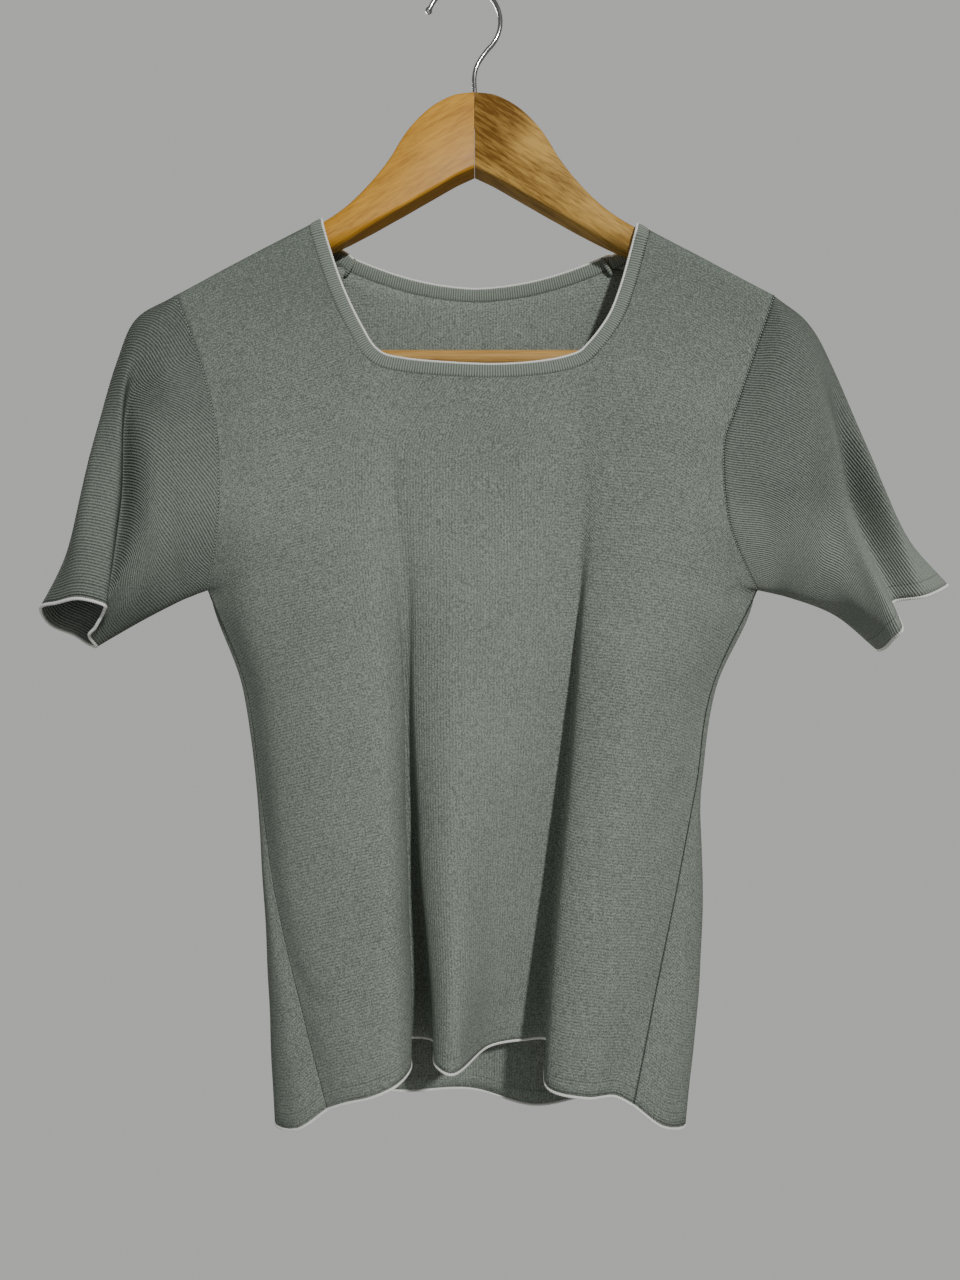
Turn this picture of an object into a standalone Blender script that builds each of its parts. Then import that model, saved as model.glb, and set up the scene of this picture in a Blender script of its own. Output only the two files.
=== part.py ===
"""Short-sleeved knit blouse hanging on a mitred wooden hanger with a wire hook.

Sizes are millimetres in the part's own frame: +X to the viewer's right, +Y away
from the viewer, +Z up. The origin is the inner top of the hook, where it hangs.
The cloth is built as sheets: a net of folds and levels, read as a smooth surface,
then given its wall. Left and right are the viewer's.
"""
import math

import bmesh
import bpy
import numpy as np

MM = 0.001

# Cloth
WALL = 1.6            # knit, folded round with its own softness
SEAM = 0.15           # each piece stops this far short of its seam line
BAND_WIDTH = 6.8      # ribbed neck band
TIPPING_WIDTH = 1.5   # light edge of the neck band
EDGING_DEPTH = 1.8    # overlocked edge of hem and cuffs
EDGING_WALL = 2.0
TIPPING_WALL = 1.9

# Hanger
MID = 7.2             # the hanger's middle, across from the hook's inner top
ARM_REACH = 212.0     # mitre to tip
ARM_SWEEP = 24.0      # how far the tips come forward
ARM_THICK = 16.4
EDGE_ROUND = 3.6      # long edges of the arms where they show
ARM_ROUND = 7.8       # and where the cloth covers them
COVER_START, COVER_FULL = 64.0, 99.0    # reaches between which one turns into the other
TIP_ROUND = 14.0      # the tips narrow over this length
TIP_NARROW = 0.8      # share of the thickness, squared, that they lose
BAR_RADIUS = 5.75
BAR_HEIGHT = -256.5
BAR_REACH = 200.0
BAR_LET_IN = 16.0
WIRE_RADIUS = 1.5
BALL_RADIUS = 2.3
BALL_STEPS = 8
HOOK_RADIUS = 24.5    # to the wire's centre line
TIP_ANGLE = 162       # degrees round the hook at its tip, and where the S-bend starts
BEND_ANGLE = -49
STEM_DEPTH = 20.0     # wire let into the wood
GAP = 0.3

# The cloth over an arm: its highest line, and how tightly it turns over the wood
CREST_AT = 107.2      # distance from the middle where the crest height is known
CREST_HEIGHT = -166.2
CREST_SLOPE = 0.59
TURN_RADIUS = 11.2
QUARTER = TURN_RADIUS * math.pi / 2

# Heights of the body's levels above the hem, which has its own height on every fold:
# low, hip, waist, ribs, underarm, bust, chest
HEIGHTS = (-666, -603, -534, -470, -405, -364, -313)
UNDERARM = 5
CHEST = HEIGHTS[-1]

# Front folds from the left side seam to the right one.
# Distance across at: hem, low, hip, waist, ribs, underarm, bust, chest
FRONT_ACROSS = {
    "left seam":    (-86, -105, -121, -133, -143, -169, -155, -155),
    "left side":    (-74, -93, -107, -116, -123, -139, -132, -132),
    "left crest":   (-56, -69, -76, -81, -84, -89, -92, -96),
    "left ridge":   (-41, -42, -44, -47, -50, -56, -59, -62),
    "left edge":    (-33.5, -33.5, -35.5, -37.5, -38.5, -44, -49, -51),
    "left slot":    (-37.5, -37.5, -38.5, -39, -38.5, -39.5, -42, -45),
    "inner slot":   (-21.5, -22.5, -27.5, -31.5, -33.5, -34.5, -37, -40),
    "flank":        (-16.5, -17.5, -23.5, -27.5, -30, -29, -31, -34),
    "crest":        (-7, -5, -6, -7, -7, -7, -7, -5),
    "right flank":  (17, 19, 22, 25, 28, 33, 34, 36),
    "right fall":   (40, 47, 54, 60, 66, 69, 68, 66),
    "right slot":   (56, 58.5, 62.5, 67.5, 71.5, 74.5, 75, 75),
    "right edge":   (53.5, 56.3, 61.8, 68, 73, 78.5, 85, 89),
    "right crest":  (76, 82, 88, 94, 100, 110, 115, 120),
    "right side":   (96, 108, 118, 128, 137, 153, 143, 145),
    "right seam":   (108, 122, 136, 151, 163, 194, 168, 165),
}
# Distance away from the viewer at the same levels, and the hem's height
FRONT_DEPTH = {
    "left seam":    (-34, -30, -24, -16, -12, -10, -36, -37),
    "left side":    (-41, -39, -37, -35, -33, -33, -41, -41),
    "left crest":   (-47, -47, -47, -47, -46, -45, -45, -42),
    "left ridge":   (-46, -48, -49, -49, -48, -47, -45, -42),
    "left edge":    (-32, -32, -31, -31, -34, -40, -41.5, -40.5),
    "left slot":    (-1, -8, -16, -23, -28.5, -35.5, -38.5, -39.5),
    "inner slot":   (-2, -9, -17, -24, -30, -36, -39, -39.7),
    "flank":        (-40, -38, -36, -36, -37, -39.5, -40.5, -40),
    "crest":        (-47, -48, -48, -47, -46, -45, -44, -42),
    "right flank":  (-12, -20, -28, -34, -38, -42, -43, -42),
    "right fall":   (0, -4, -11.5, -19, -27, -35, -39, -40),
    "right slot":   (0, -3, -11, -18.5, -26.5, -34.5, -38.5, -39.8),
    "right edge":   (-41, -41, -41, -41, -41, -41, -42, -41.5),
    "right crest":  (-48, -49, -49, -49, -49, -48, -46, -43),
    "right side":   (-38, -39, -38, -37, -36, -35, -42, -42),
    "right seam":   (-35, -31, -26, -19, -14, -10, -37, -37),
}
FRONT_HEM = {
    "left seam": -735, "left side": -728, "left crest": -721, "left ridge": -714,
    "left edge": -710, "left slot": -705, "inner slot": -705, "flank": -705,
    "crest": -707, "right flank": -705, "right fall": -706, "right slot": -706,
    "right edge": -718, "right crest": -721, "right side": -725, "right seam": -732,
}

# Back folds, the same way; the first and last are the side seams of the front,
# which stand further back above the underarm.
BACK_ACROSS = {
    "left seam":    (-86, -105, -121, -133, -143, -169, -164, -163),
    "left face":    (-106, -118, -128, -136, -146, -168, -159, -157),
    "left corner":  (-124.5, -129, -132, -137, -145, -163, -152, -150),
    "left turn":    (-118, -124, -127, -130, -136, -150, -142, -140),
    "left back":    (-84, -86, -88, -90, -92, -94, -94, -92),
    "left trough":  (-40, -42, -44, -45, -46, -46, -44, -42),
    "middle":       (5, 5, 6, 6, 7, 7, 8, 8),
    "right trough": (48, 50, 53, 56, 58, 60, 60, 58),
    "right back":   (96, 98, 102, 104, 106, 110, 110, 108),
    "right turn":   (139, 149, 151, 149, 158, 176, 158, 156),
    "right corner": (146, 155.5, 158, 156.5, 166, 188, 168, 166),
    "right face":   (128, 141, 149, 155.5, 166.5, 193, 176, 174),
    "right seam":   (108, 122, 136, 151, 163, 194, 180, 179),
}
BACK_DEPTH = {
    "left seam":    (-34, -30, -24, -16, -12, -10, 4, 9),
    "left face":    (-30, -26, -20, -12, -8, -3, 10, 12),
    "left corner":  (-10, -9, -8, -5, -2, 5, 13, 14),
    "left turn":    (12, 11, 10, 10, 10, 13, 17, 16),
    "left back":    (25, 23, 21, 19, 18, 18, 18, 17),
    "left trough":  (15, 17, 19, 21, 22, 22, 21, 19),
    "middle":       (28, 26, 24, 22, 21, 20, 19, 18),
    "right trough": (16, 18, 20, 22, 23, 22, 20, 18),
    "right back":   (26, 24, 22, 20, 19, 18, 18, 17),
    "right turn":   (12, 11, 10, 10, 10, 13, 17, 16),
    "right corner": (-10, -9, -8, -6, -3, 5, 13, 14),
    "right face":   (-29, -26, -20, -14, -10, -3, 10, 12),
    "right seam":   (-35, -31, -26, -19, -14, -10, 4, 9),
}
BACK_HEM = {
    "left seam": -735, "left face": -750, "left corner": -757, "left turn": -757,
    "left back": -752, "left trough": -748, "middle": -753, "right trough": -758,
    "right back": -756, "right turn": -759, "right corner": -758,
    "right face": -749, "right seam": -732,
}

# Grid steps between neighbouring levels, and the shares of the way from the chest
# up to the front of the arm at which further rows lie
STEPS_UP = (3, 3, 3, 3, 3, 3, 2)
SIDE_STEPS = sum(STEPS_UP[:UNDERARM])
CHEST_ROW = sum(STEPS_UP)
FRONT_RISE = (0.2, 0.41, 0.62, 0.82, 1.0)
BACK_RISE = (0.36, 0.7, 1.0)
STRAP_STEPS = 6
NECK_SIDE_STEPS = 6
FRONT_NECK_STEPS = (3, 2, 2, 2, 3, 3, 3, 2, 3)   # left ridge to right edge
BACK_STRAP_STEPS = (2, 1, 1, 2)
BACK_NECK_STEPS = (4, 4, 4, 4)
STRAP_FOLDS = 1.4     # the strap takes this many fold intervals at the chest

# The straps turn over the arms to the shoulder seams, which lie behind them.
# Each row: distance behind the crest and distance across, at the neck's edge and
# then at the armhole
STRAPS = {
    "left": ((-11, -98.7, -11, -183), (0, -99.7, -2, -186), (12, -97.5, 8, -188.5),
             (24, -91.5, 17, -190.5), (36, -82, 26, -192)),
    "right": ((-11, 119.3, -11, 198), (0, 120.5, -2, 200), (12, 118, 8, 202.5),
              (24, 111.5, 17, 204.5), (36, 101, 26, 206)),
}
STRAP_RISE = (2, 2, 1, 1)
# How much the armhole bows between the chest and the shoulder
ARMHOLE_BOW = {"left": 1.35, "right": 1.0}
# Front neckline between the straps: distance across and height. Its foot runs between
# the two corners, given by their places in the list.
NECKLINE = (
    (-98.7, -171), (-93.5, -188), (-87, -207.5), (-79.8, -224.8), (-71.5, -241.5),
    (-62.6, -256.4), (-53.8, -263.4), (-40.7, -267), (-21.8, -269.9), (5.7, -271.8),
    (27.6, -271.8), (49.4, -269.9), (66.9, -266.2), (78.6, -261.2), (85, -255),
    (92, -246.5), (100.7, -232.8), (108.5, -212.7), (115, -190.4), (119.3, -173.7),
)
NECK_CORNERS = (5, 14)
BACK_NECK_MIDDLE = 9.0
BACK_NECK_HEIGHT = -204.8
BACK_NECK_RISE = 18.6
BACK_NECK_HALF = 92.0

# Fold lines round each sleeve from the underarm over the front and back again.
# Places at the crown, cap, middle and cuff: across, depth, height
LEFT_SLEEVE = {
    "underarm":    ((-180, -10, -409), (-188, -12, -413), (-213, -12, -426), (-241, -12, -442)),
    "lower front": ((-179, -29, -388), (-185, -34, -386), (-206, -34, -411), (-240, -25, -435)),
    "front":       ((-173, -41, -346), (-186, -42, -349), (-201, -41, -391), (-233, -32, -429)),
    "upper front": ((-178, -41, -303), (-193, -42, -311), (-203, -40, -369), (-227.5, -37, -422.5)),
    "valley":      ((-187, -39, -270), (-211, -32, -283), (-220, -27, -354), (-224, -42, -419)),
    "ridge":       ((-199, -37, -243), (-211, -39, -268), (-215, -46, -351), (-221, -49, -416)),
    "strip":       ((-211, -24, -232), (-223, -24, -259), (-232, -45, -339), (-235, -51, -412)),
    "outer strip": ((-211, -12, -237), (-226, -8, -266), (-247, -28, -358), (-255, -38, -414)),
    "outer edge":  ((-206, -1, -260), (-228, 3, -285), (-254, -5, -368), (-278, -12, -417)),
    "back":        ((-195, 9, -303), (-222, 14, -320), (-253, 13, -381), (-280, 8, -428)),
    "lower back":  ((-184, 13, -358), (-210, 13, -362), (-243, 14, -398), (-268, 14, -434)),
    "behind":      ((-181, 6, -395), (-197, 3, -397), (-228, 4, -415), (-254, 4, -440)),
}
RIGHT_SLEEVE = {
    "underarm":    ((204, -10, -407), (215, -12, -410), (245, -12, -422), (272, -12, -444)),
    "lower front": ((200, -29, -386), (214, -35, -386), (242, -33, -407), (271, -27, -442)),
    "front":       ((190, -41, -347), (216, -45, -350), (243, -42, -389), (271, -37, -437)),
    "upper front": ((190, -43, -309), (219, -48, -315), (242.5, -46, -373), (274, -42, -432)),
    "ridge":       ((196, -42, -277), (222, -46, -289), (244, -43, -360), (278, -31, -425)),
    "valley":      ((209, -38, -244), (228, -37, -270), (261, -2, -354), (286, -5, -412)),
    "strip":       ((221, -24, -234), (239, -23, -264), (281, -16, -357), (302, -14, -409)),
    "outer edge":  ((219, -12, -241), (241, -8, -272), (290, 4, -360), (323, -2, -401)),
    "outer back":  ((214, 0, -265), (241, 6, -290), (283, 18, -364), (318, 16, -403)),
    "back":        ((209, 9, -305), (236, 12, -320), (271, 21, -378), (306, 24, -406)),
    "lower back":  ((207, 13, -360), (230, 14, -362), (260, 17, -394), (294, 24, -415)),
    "behind":      ((205, 6, -393), (219, 4, -395), (251, 5, -412), (283, 12, -431)),
}
SLEEVE_STEPS = (2, 2, 4, 4)

# Outline of an arm: distance from the mitre, top height, bottom height
ARM_STATIONS = (
    (GAP / 2, -74.4, -124.8), (12, -76.6, -131), (19, -79.7, -135.3), (27, -84.7, -140.4),
    (35, -91.8, -145.4), (43, -101, -150.5), (49, -110, -154.3), (55, -120.4, -158),
    (64, -132.8, -163.8), (74, -144, -170.2), (85, -154, -177.2), (99, -163.8, -185),
    (130, -182, -201), (160, -199.8, -220), (180, -212.3, -240), (188, -218, -253),
    (195, -223.5, -262), (203, -230, -264), (209, -236.5, -259), (ARM_REACH, -243, -251),
)

KNIT = ("knit", (0.36, 0.42, 0.38), 0.9, 0.0)
RIB = ("rib", (0.36, 0.42, 0.38), 0.9, 0.0)
TRIM = ("light_trim", (0.75, 0.78, 0.72), 0.8, 0.0)
WOOD = ("varnished_wood", (0.48, 0.26, 0.08), 0.3, 0.0)
CHROME = ("chrome", (0.75, 0.75, 0.75), 0.2, 1.0)


# Smooth lines through given points

def between(before, start, end, after, share):
    """Point on a smooth curve from start to end, a share of the way along."""
    knots = [0.0]
    stops = (before, start, end, after)
    for one, two in zip(stops, stops[1:]):
        knots.append(knots[-1] + max(np.linalg.norm(two - one), 1e-6) ** 0.5)
    at = knots[1] + share * (knots[2] - knots[1])

    def mix(low, high, one, two):
        return ((knots[high] - at) * one + (at - knots[low]) * two) / (knots[high] - knots[low])

    first = mix(0, 1, before, start)
    second = mix(1, 2, start, end)
    third = mix(2, 3, end, after)
    return mix(1, 2, mix(0, 2, first, second), mix(1, 3, second, third))


def smooth_line(points, steps, before=None):
    """Read a smooth line through points, with the given steps between them.

    before is a point that the line would come from, which sets how it starts.
    """
    points = np.asarray(points, float)
    if before is None:
        before = 2 * points[0] - points[1]
    padded = np.vstack([before, points, 2 * points[-1] - points[-2]])
    line = []
    for start, count in enumerate(steps):
        for step in range(count):
            line.append(between(*padded[start:start + 4], step / count))
    line.append(padded[len(steps) + 1])
    return np.array(line)


def spread(line, count):
    """Even steps along a line of close points."""
    run = np.concatenate([[0], np.cumsum(np.linalg.norm(np.diff(line, axis=0), axis=1))])
    at = np.linspace(0, run[-1], count + 1)
    return np.column_stack([np.interp(at, run, line[:, axis]) for axis in range(line.shape[1])])


def ease(share):
    """Slow start and slow end."""
    share = min(max(share, 0.0), 1.0)
    return share * share * (3 - 2 * share)


# The cloth over the arms

def arm_depth(across):
    """The arms' middle line: the tips come forward."""
    return -ARM_SWEEP * abs(across - MID) / ARM_REACH


def crest_height(across):
    """Height of the cloth's highest line over an arm."""
    return CREST_HEIGHT - CREST_SLOPE * (abs(across - MID) - CREST_AT)


def girth_at(across, height):
    """Distance along the cloth from the crest down to a height beside the arm."""
    return crest_height(across) - TURN_RADIUS + QUARTER - height


def over_arm(across, girth, side, chest_depth):
    """A point of the cloth hung over an arm, on the front (-1) or back (1) side.

    girth is measured from the crest, down that side; below 0 it is the other side.
    """
    middle = arm_depth(across)
    top = crest_height(across) - TURN_RADIUS
    if abs(girth) <= QUARTER:
        lean = girth / TURN_RADIUS
        return (across, middle + side * TURN_RADIUS * math.sin(lean),
                top + TURN_RADIUS * math.cos(lean))
    height = top + QUARTER - abs(girth)
    if girth < 0:
        return (across, middle - side * TURN_RADIUS, height)
    start = middle + side * TURN_RADIUS
    share = ease((top - height) / (top - CHEST))
    return (across, start + (chest_depth(across) - start) * share, height)


def net_of(across, depth, hem):
    """Places of all folds at all levels, as an array of folds by levels."""
    net = []
    for fold, distances in across.items():
        heights = (hem[fold],) + HEIGHTS
        net.append(list(zip(distances, depth[fold], heights)))
    return np.array(net, float)


def fold_columns(net, places):
    """Read every level of the net at the given fold places, whole or between."""
    folds = len(net)
    padded = np.concatenate([[2 * net[0] - net[1]], net, [2 * net[-1] - net[-2]]])
    columns = []
    for place in places:
        fold = min(int(place), folds - 2)
        columns.append([between(*padded[fold:fold + 4, level], place - fold)
                        for level in range(net.shape[1])])
    return np.array(columns)


def split(steps, start=0):
    """Fold places for the given steps between whole folds."""
    places = []
    for fold, count in enumerate(steps):
        places += [start + fold + step / count for step in range(count)]
    return places


def climb(column, upper, corner, over):
    """A column from the hem to the top; corner 1 breaks it at the underarm.

    over is the way there to the other side of the armhole, which rounds its foot.
    """
    steps = list(STEPS_UP) + [1] * len(upper)
    points = np.vstack([column, upper])
    whole = smooth_line(points, steps)
    if corner == 0:
        return whole
    low = smooth_line(points[:UNDERARM + 1], steps[:UNDERARM])
    high = smooth_line(points[UNDERARM:], steps[UNDERARM:], points[UNDERARM] + over)
    broken = np.vstack([low[:-1], high])
    return corner * broken + (1 - corner) * whole


def strap_lines(name):
    """Lines of a strap over the arm, each from the armhole to the neck.

    Each point is the distance across and the distance behind the crest.
    """
    rows = smooth_line(STRAPS[name], STRAP_RISE)
    share = np.linspace(0, 1, STRAP_STEPS + 1)[:, None]
    return [row[[3, 2]] + (row[[1, 0]] - row[[3, 2]]) * share for row in rows]


def body_sheet(net, other, places, tops, rise, side, bows, straps=None):
    """The grid of a body panel, columns from the left seam to the right one.

    other is the net of the opposite panel. tops are the ends of the columns:
    across, girth. straps adds the rows that go on over the arms; between the
    straps those rows are left empty (not a number).
    """
    columns = fold_columns(net, places)
    chest_line = columns[:, -1]
    order = np.argsort(chest_line[:, 0])

    def chest_depth(across):
        return float(np.interp(across, chest_line[order, 0], chest_line[order, 1]))

    extra = len(straps["left"]) - 1 if straps else 0
    sheet = np.full((len(places), CHEST_ROW + len(rise) + extra + 1, 3), np.nan)
    last = len(places) - 1
    for index, (place, column, top, bow) in enumerate(zip(places, columns, tops, bows)):
        start = column[-1, 0], girth_at(column[-1, 0], CHEST)
        upper = []
        for share in rise:
            across = start[0] + (top[0] - start[0]) * share ** bow
            girth = start[1] + (top[1] - start[1]) * share
            upper.append(over_arm(across, girth, side, chest_depth))
        if straps and index <= STRAP_STEPS:
            run = [line[index] for line in straps["left"][1:]]
            upper += [over_arm(x, -behind, side, chest_depth) for x, behind in run]
        if straps and last - index <= STRAP_STEPS:
            run = [line[last - index] for line in straps["right"][1:]]
            upper += [over_arm(x, -behind, side, chest_depth) for x, behind in run]
        corner = max(1 - place, 1 - (len(net) - 1 - place), 0)
        end = 0 if place < 1 else -1
        over = other[end, UNDERARM + 1] - net[end, UNDERARM]
        line = climb(column, upper, ease(corner), over)
        sheet[index, :len(line)] = line
    return sheet


def strap_bows(count):
    """How much each column bows: the armhole most, the neck end not at all."""
    bows = [1.0] * count
    for step in range(STRAP_STEPS):
        share = 1 - step / STRAP_STEPS
        bows[step] = 1 + (ARMHOLE_BOW["left"] - 1) * share
        bows[-1 - step] = 1 + (ARMHOLE_BOW["right"] - 1) * share
    return bows


def neckline():
    """Tops of the columns between the straps: even steps down, along the foot and up."""
    fine = 8
    line = smooth_line(NECKLINE, [fine] * (len(NECKLINE) - 1))
    left, right = (corner * fine for corner in NECK_CORNERS)
    return np.vstack([spread(line[:left + 1], NECK_SIDE_STEPS)[1:-1],
                      spread(line[left:right + 1], sum(FRONT_NECK_STEPS)),
                      spread(line[right:], NECK_SIDE_STEPS)[1:-1]])


def front_sheet():
    last = len(FRONT_ACROSS) - 1
    ridge = list(FRONT_ACROSS).index("left ridge")
    edge = ridge + len(FRONT_NECK_STEPS)
    places = list(np.linspace(0, STRAP_FOLDS, STRAP_STEPS + 1)[:-1])
    places += list(np.linspace(STRAP_FOLDS, ridge, NECK_SIDE_STEPS + 1)[:-1])
    places += split(FRONT_NECK_STEPS, ridge)
    places += list(np.linspace(edge, last - STRAP_FOLDS, NECK_SIDE_STEPS + 1)[:-1])
    places += list(np.linspace(last - STRAP_FOLDS, last, STRAP_STEPS + 1))
    net = net_of(FRONT_ACROSS, FRONT_DEPTH, FRONT_HEM)
    other = net_of(BACK_ACROSS, BACK_DEPTH, BACK_HEM)
    straps = {"left": strap_lines("left"), "right": strap_lines("right")}
    tops = [(x, -behind) for x, behind in straps["left"][0]]
    tops += [(x, girth_at(x, height)) for x, height in neckline()]
    tops += [(x, -behind) for x, behind in straps["right"][0][::-1]]
    bows = strap_bows(len(places))
    return body_sheet(net, other, places, tops, FRONT_RISE, -1, bows, straps)


def back_sheet(front):
    strap = len(BACK_STRAP_STEPS)
    middle = len(BACK_NECK_STEPS)
    places = split(BACK_STRAP_STEPS) + split(BACK_NECK_STEPS, strap)
    places += split(BACK_STRAP_STEPS[::-1], strap + middle) + [2 * strap + middle]
    net = net_of(BACK_ACROSS, BACK_DEPTH, BACK_HEM)
    other = net_of(FRONT_ACROSS, FRONT_DEPTH, FRONT_HEM)
    left = [tuple(point) for point in strap_lines("left")[-1]]
    right = [tuple(point) for point in strap_lines("right")[-1]][::-1]
    count = sum(BACK_NECK_STEPS)
    neck = []
    for step in range(1, count):
        across = left[-1][0] + (right[0][0] - left[-1][0]) * step / count
        rise = BACK_NECK_RISE * ((across - BACK_NECK_MIDDLE) / BACK_NECK_HALF) ** 2
        neck.append((across, girth_at(across, BACK_NECK_HEIGHT + rise)))
    sheet = body_sheet(net, other, places, left + neck + right, BACK_RISE, 1,
                       strap_bows(len(places)))
    # The side seams and the shoulder seams are the front's own lines
    for end in (0, -1):
        sheet[end, :SIDE_STEPS + 1] = front[end, :SIDE_STEPS + 1]
    sheet[:STRAP_STEPS + 1, -1] = front[:STRAP_STEPS + 1, -1]
    sheet[-STRAP_STEPS - 1:, -1] = front[-STRAP_STEPS - 1:, -1]
    return sheet


def armhole(front, back, end):
    """The armhole seam from the underarm up the front and down the back."""
    up = front[end, SIDE_STEPS:]
    down = back[end, SIDE_STEPS:][::-1]
    return np.vstack([up, down[1:-1]])


def sleeve_sheet(ring, table):
    """Grid of a sleeve: round the armhole by along to the cuff."""
    folds = len(table)
    stations = np.array([list(places) for places in table.values()], float)
    sheet = []
    for index, start in enumerate(ring):
        turn = folds * index / len(ring)
        fold = int(turn)
        picks = [(fold + step) % folds for step in (-1, 0, 1, 2)]
        along = [start]
        for station in range(stations.shape[1]):
            along.append(between(*stations[picks, station], turn - fold))
        sheet.append(smooth_line(along, SLEEVE_STEPS))
    return np.array(sheet)


# Walls

def quads_of(sheet, ring=False):
    """Faces of a grid as index fours, where all four points are there."""
    across, up = sheet.shape[:2]
    there = ~np.isnan(sheet[:, :, 0])
    quads = []
    for i in range(across if ring else across - 1):
        k = (i + 1) % across
        for j in range(up - 1):
            if there[i, j + 1] and there[k, j + 1]:
                quads.append((i * up + j, k * up + j, k * up + j + 1, i * up + j + 1))
    return quads


def normals_of(sheet, ring=False):
    """Unit normals of a grid, from the faces round each point."""
    points = sheet.reshape(-1, 3)
    total = np.zeros_like(points)
    for quad in quads_of(sheet, ring):
        a, b, c, d = points[list(quad)]
        total[list(quad)] += np.cross(c - a, d - b)
    length = np.linalg.norm(total, axis=1, keepdims=True)
    return (total / np.maximum(length, 1e-9)).reshape(sheet.shape)


def share_normals(*edges):
    """Give sheets that meet along a seam the same normal at each shared point.

    Each edge is (normals, columns, rows) picking the same run of points.
    """
    total = sum(normals[columns, rows] for normals, columns, rows in edges)
    total = total / np.linalg.norm(total, axis=-1, keepdims=True)
    for normals, columns, rows in edges:
        normals[columns, rows] = total


def way_out(edge, normals, inner, ring=False):
    """Unit way from an edge away from its sheet, square to the edge."""
    if ring:
        along = np.roll(edge, -1, axis=0) - np.roll(edge, 1, axis=0)
    else:
        along = np.gradient(edge, axis=0)
    way = np.cross(along, normals)
    way /= np.linalg.norm(way, axis=1, keepdims=True)
    flip = np.sign(np.sum(way * (edge - inner), axis=1, keepdims=True))
    return way * flip


def pulled_back(sheet, normals, runs, ring=False):
    """Stop a sheet a little short of its seams.

    Each run is two lists of places, (columns, rows), of the seam and of the
    points next to it inside the sheet.
    """
    short = sheet.copy()
    for seam, inside in runs:
        way = way_out(sheet[seam], normals[seam], sheet[inside], ring)
        short[seam] -= SEAM * way
    return short


def material(look):
    name, colour, roughness, metallic = look
    found = bpy.data.materials.get(name)
    if found:
        return found
    made = bpy.data.materials.new(name)
    made.use_nodes = True
    shader = made.node_tree.nodes["Principled BSDF"]
    shader.inputs["Base Color"].default_value = (*colour, 1)
    shader.inputs["Roughness"].default_value = roughness
    shader.inputs["Metallic"].default_value = metallic
    made.diffuse_color = (*colour, 1)
    return made


def add_object(name, mesh_data, look):
    """Turn points and faces in millimetres into a named object."""
    points, faces = mesh_data
    mesh = bpy.data.meshes.new(name)
    mesh.from_pydata([tuple(point * MM) for point in points], [], faces)
    shaped = bmesh.new()
    shaped.from_mesh(mesh)
    bmesh.ops.recalc_face_normals(shaped, faces=shaped.faces)
    shaped.to_mesh(mesh)
    shaped.free()
    mesh.shade_smooth()
    mesh.set_sharp_from_angle(angle=math.radians(60))
    mesh.materials.append(material(look))
    made = bpy.data.objects.new(name, mesh)
    bpy.context.collection.objects.link(made)
    return made


def wall_mesh(sheet, normals, thickness, ring=False):
    """A closed wall round a grid, half of its thickness on either side."""
    quads = quads_of(sheet, ring)
    size = sheet.shape[0] * sheet.shape[1]
    outer = (sheet + normals * thickness / 2).reshape(-1, 3)
    inner = (sheet - normals * thickness / 2).reshape(-1, 3)
    sides = {}
    for quad in quads:
        for one, two in zip(quad, quad[1:] + quad[:1]):
            sides[frozenset((one, two))] = None if frozenset((one, two)) in sides else (one, two)
    faces = list(quads)
    faces += [tuple(size + corner for corner in quad[::-1]) for quad in quads]
    faces += [(two, one, size + one, size + two) for one, two in filter(None, sides.values())]
    used = sorted({corner for face in faces for corner in face})
    place = {corner: index for index, corner in enumerate(used)}
    points = np.concatenate([outer, inner])[used]
    return points, [tuple(place[corner] for corner in face) for face in faces]


def strip_beyond(edge, normals, way, start, width, rows):
    """A strip that continues a sheet past its edge, away from it."""
    shares = np.linspace(start, start + width, rows + 1)
    sheet = edge[:, None] + way[:, None] * shares[None, :, None]
    return sheet, np.repeat(normals[:, None], rows + 1, axis=1)


def shortened(sheet):
    """A strip that stops a little short of both of its ends."""
    short = sheet.copy()
    for end, inner in ((0, 1), (-1, -2)):
        way = sheet[inner] - sheet[end]
        short[end] += SEAM * way / np.linalg.norm(way, axis=1, keepdims=True)
    return short


# Pieces

def add_edging(name, edge, normals, way, ring=False):
    sheet, turned = strip_beyond(edge, normals, way, 2 * SEAM, EDGING_DEPTH, 1)
    if not ring:
        sheet = shortened(sheet)
    add_object(name, wall_mesh(sheet, turned, EDGING_WALL, ring), TRIM)


def add_neck_band(name, edge, normals, way):
    band, turned = strip_beyond(edge, normals, way, SEAM, BAND_WIDTH, 2)
    add_object("neck_band_" + name, wall_mesh(shortened(band), turned, WALL), RIB)
    start = BAND_WIDTH + 3 * SEAM
    tip, turned = strip_beyond(edge, normals, way, start, TIPPING_WIDTH, 1)
    add_object("neck_tipping_" + name, wall_mesh(shortened(tip), turned, TIPPING_WALL), TRIM)


def run_of(columns, rows):
    """Places of a run of grid points, as a list of columns and a list of rows."""
    columns, rows = np.broadcast_arrays(columns, rows)
    return columns.copy(), rows.copy()


def side_runs(sheet):
    """A grid's first and last columns, each with the column beside it."""
    rows = np.arange(sheet.shape[1])
    last = sheet.shape[0] - 1
    return [(run_of(0, rows), run_of(1, rows)), (run_of(last, rows), run_of(last - 1, rows))]


def top_run(sheet, columns):
    """The given columns of a grid's top row, with the points below them."""
    top = sheet.shape[1] - 1
    return run_of(columns, top), run_of(columns, top - 1)


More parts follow.
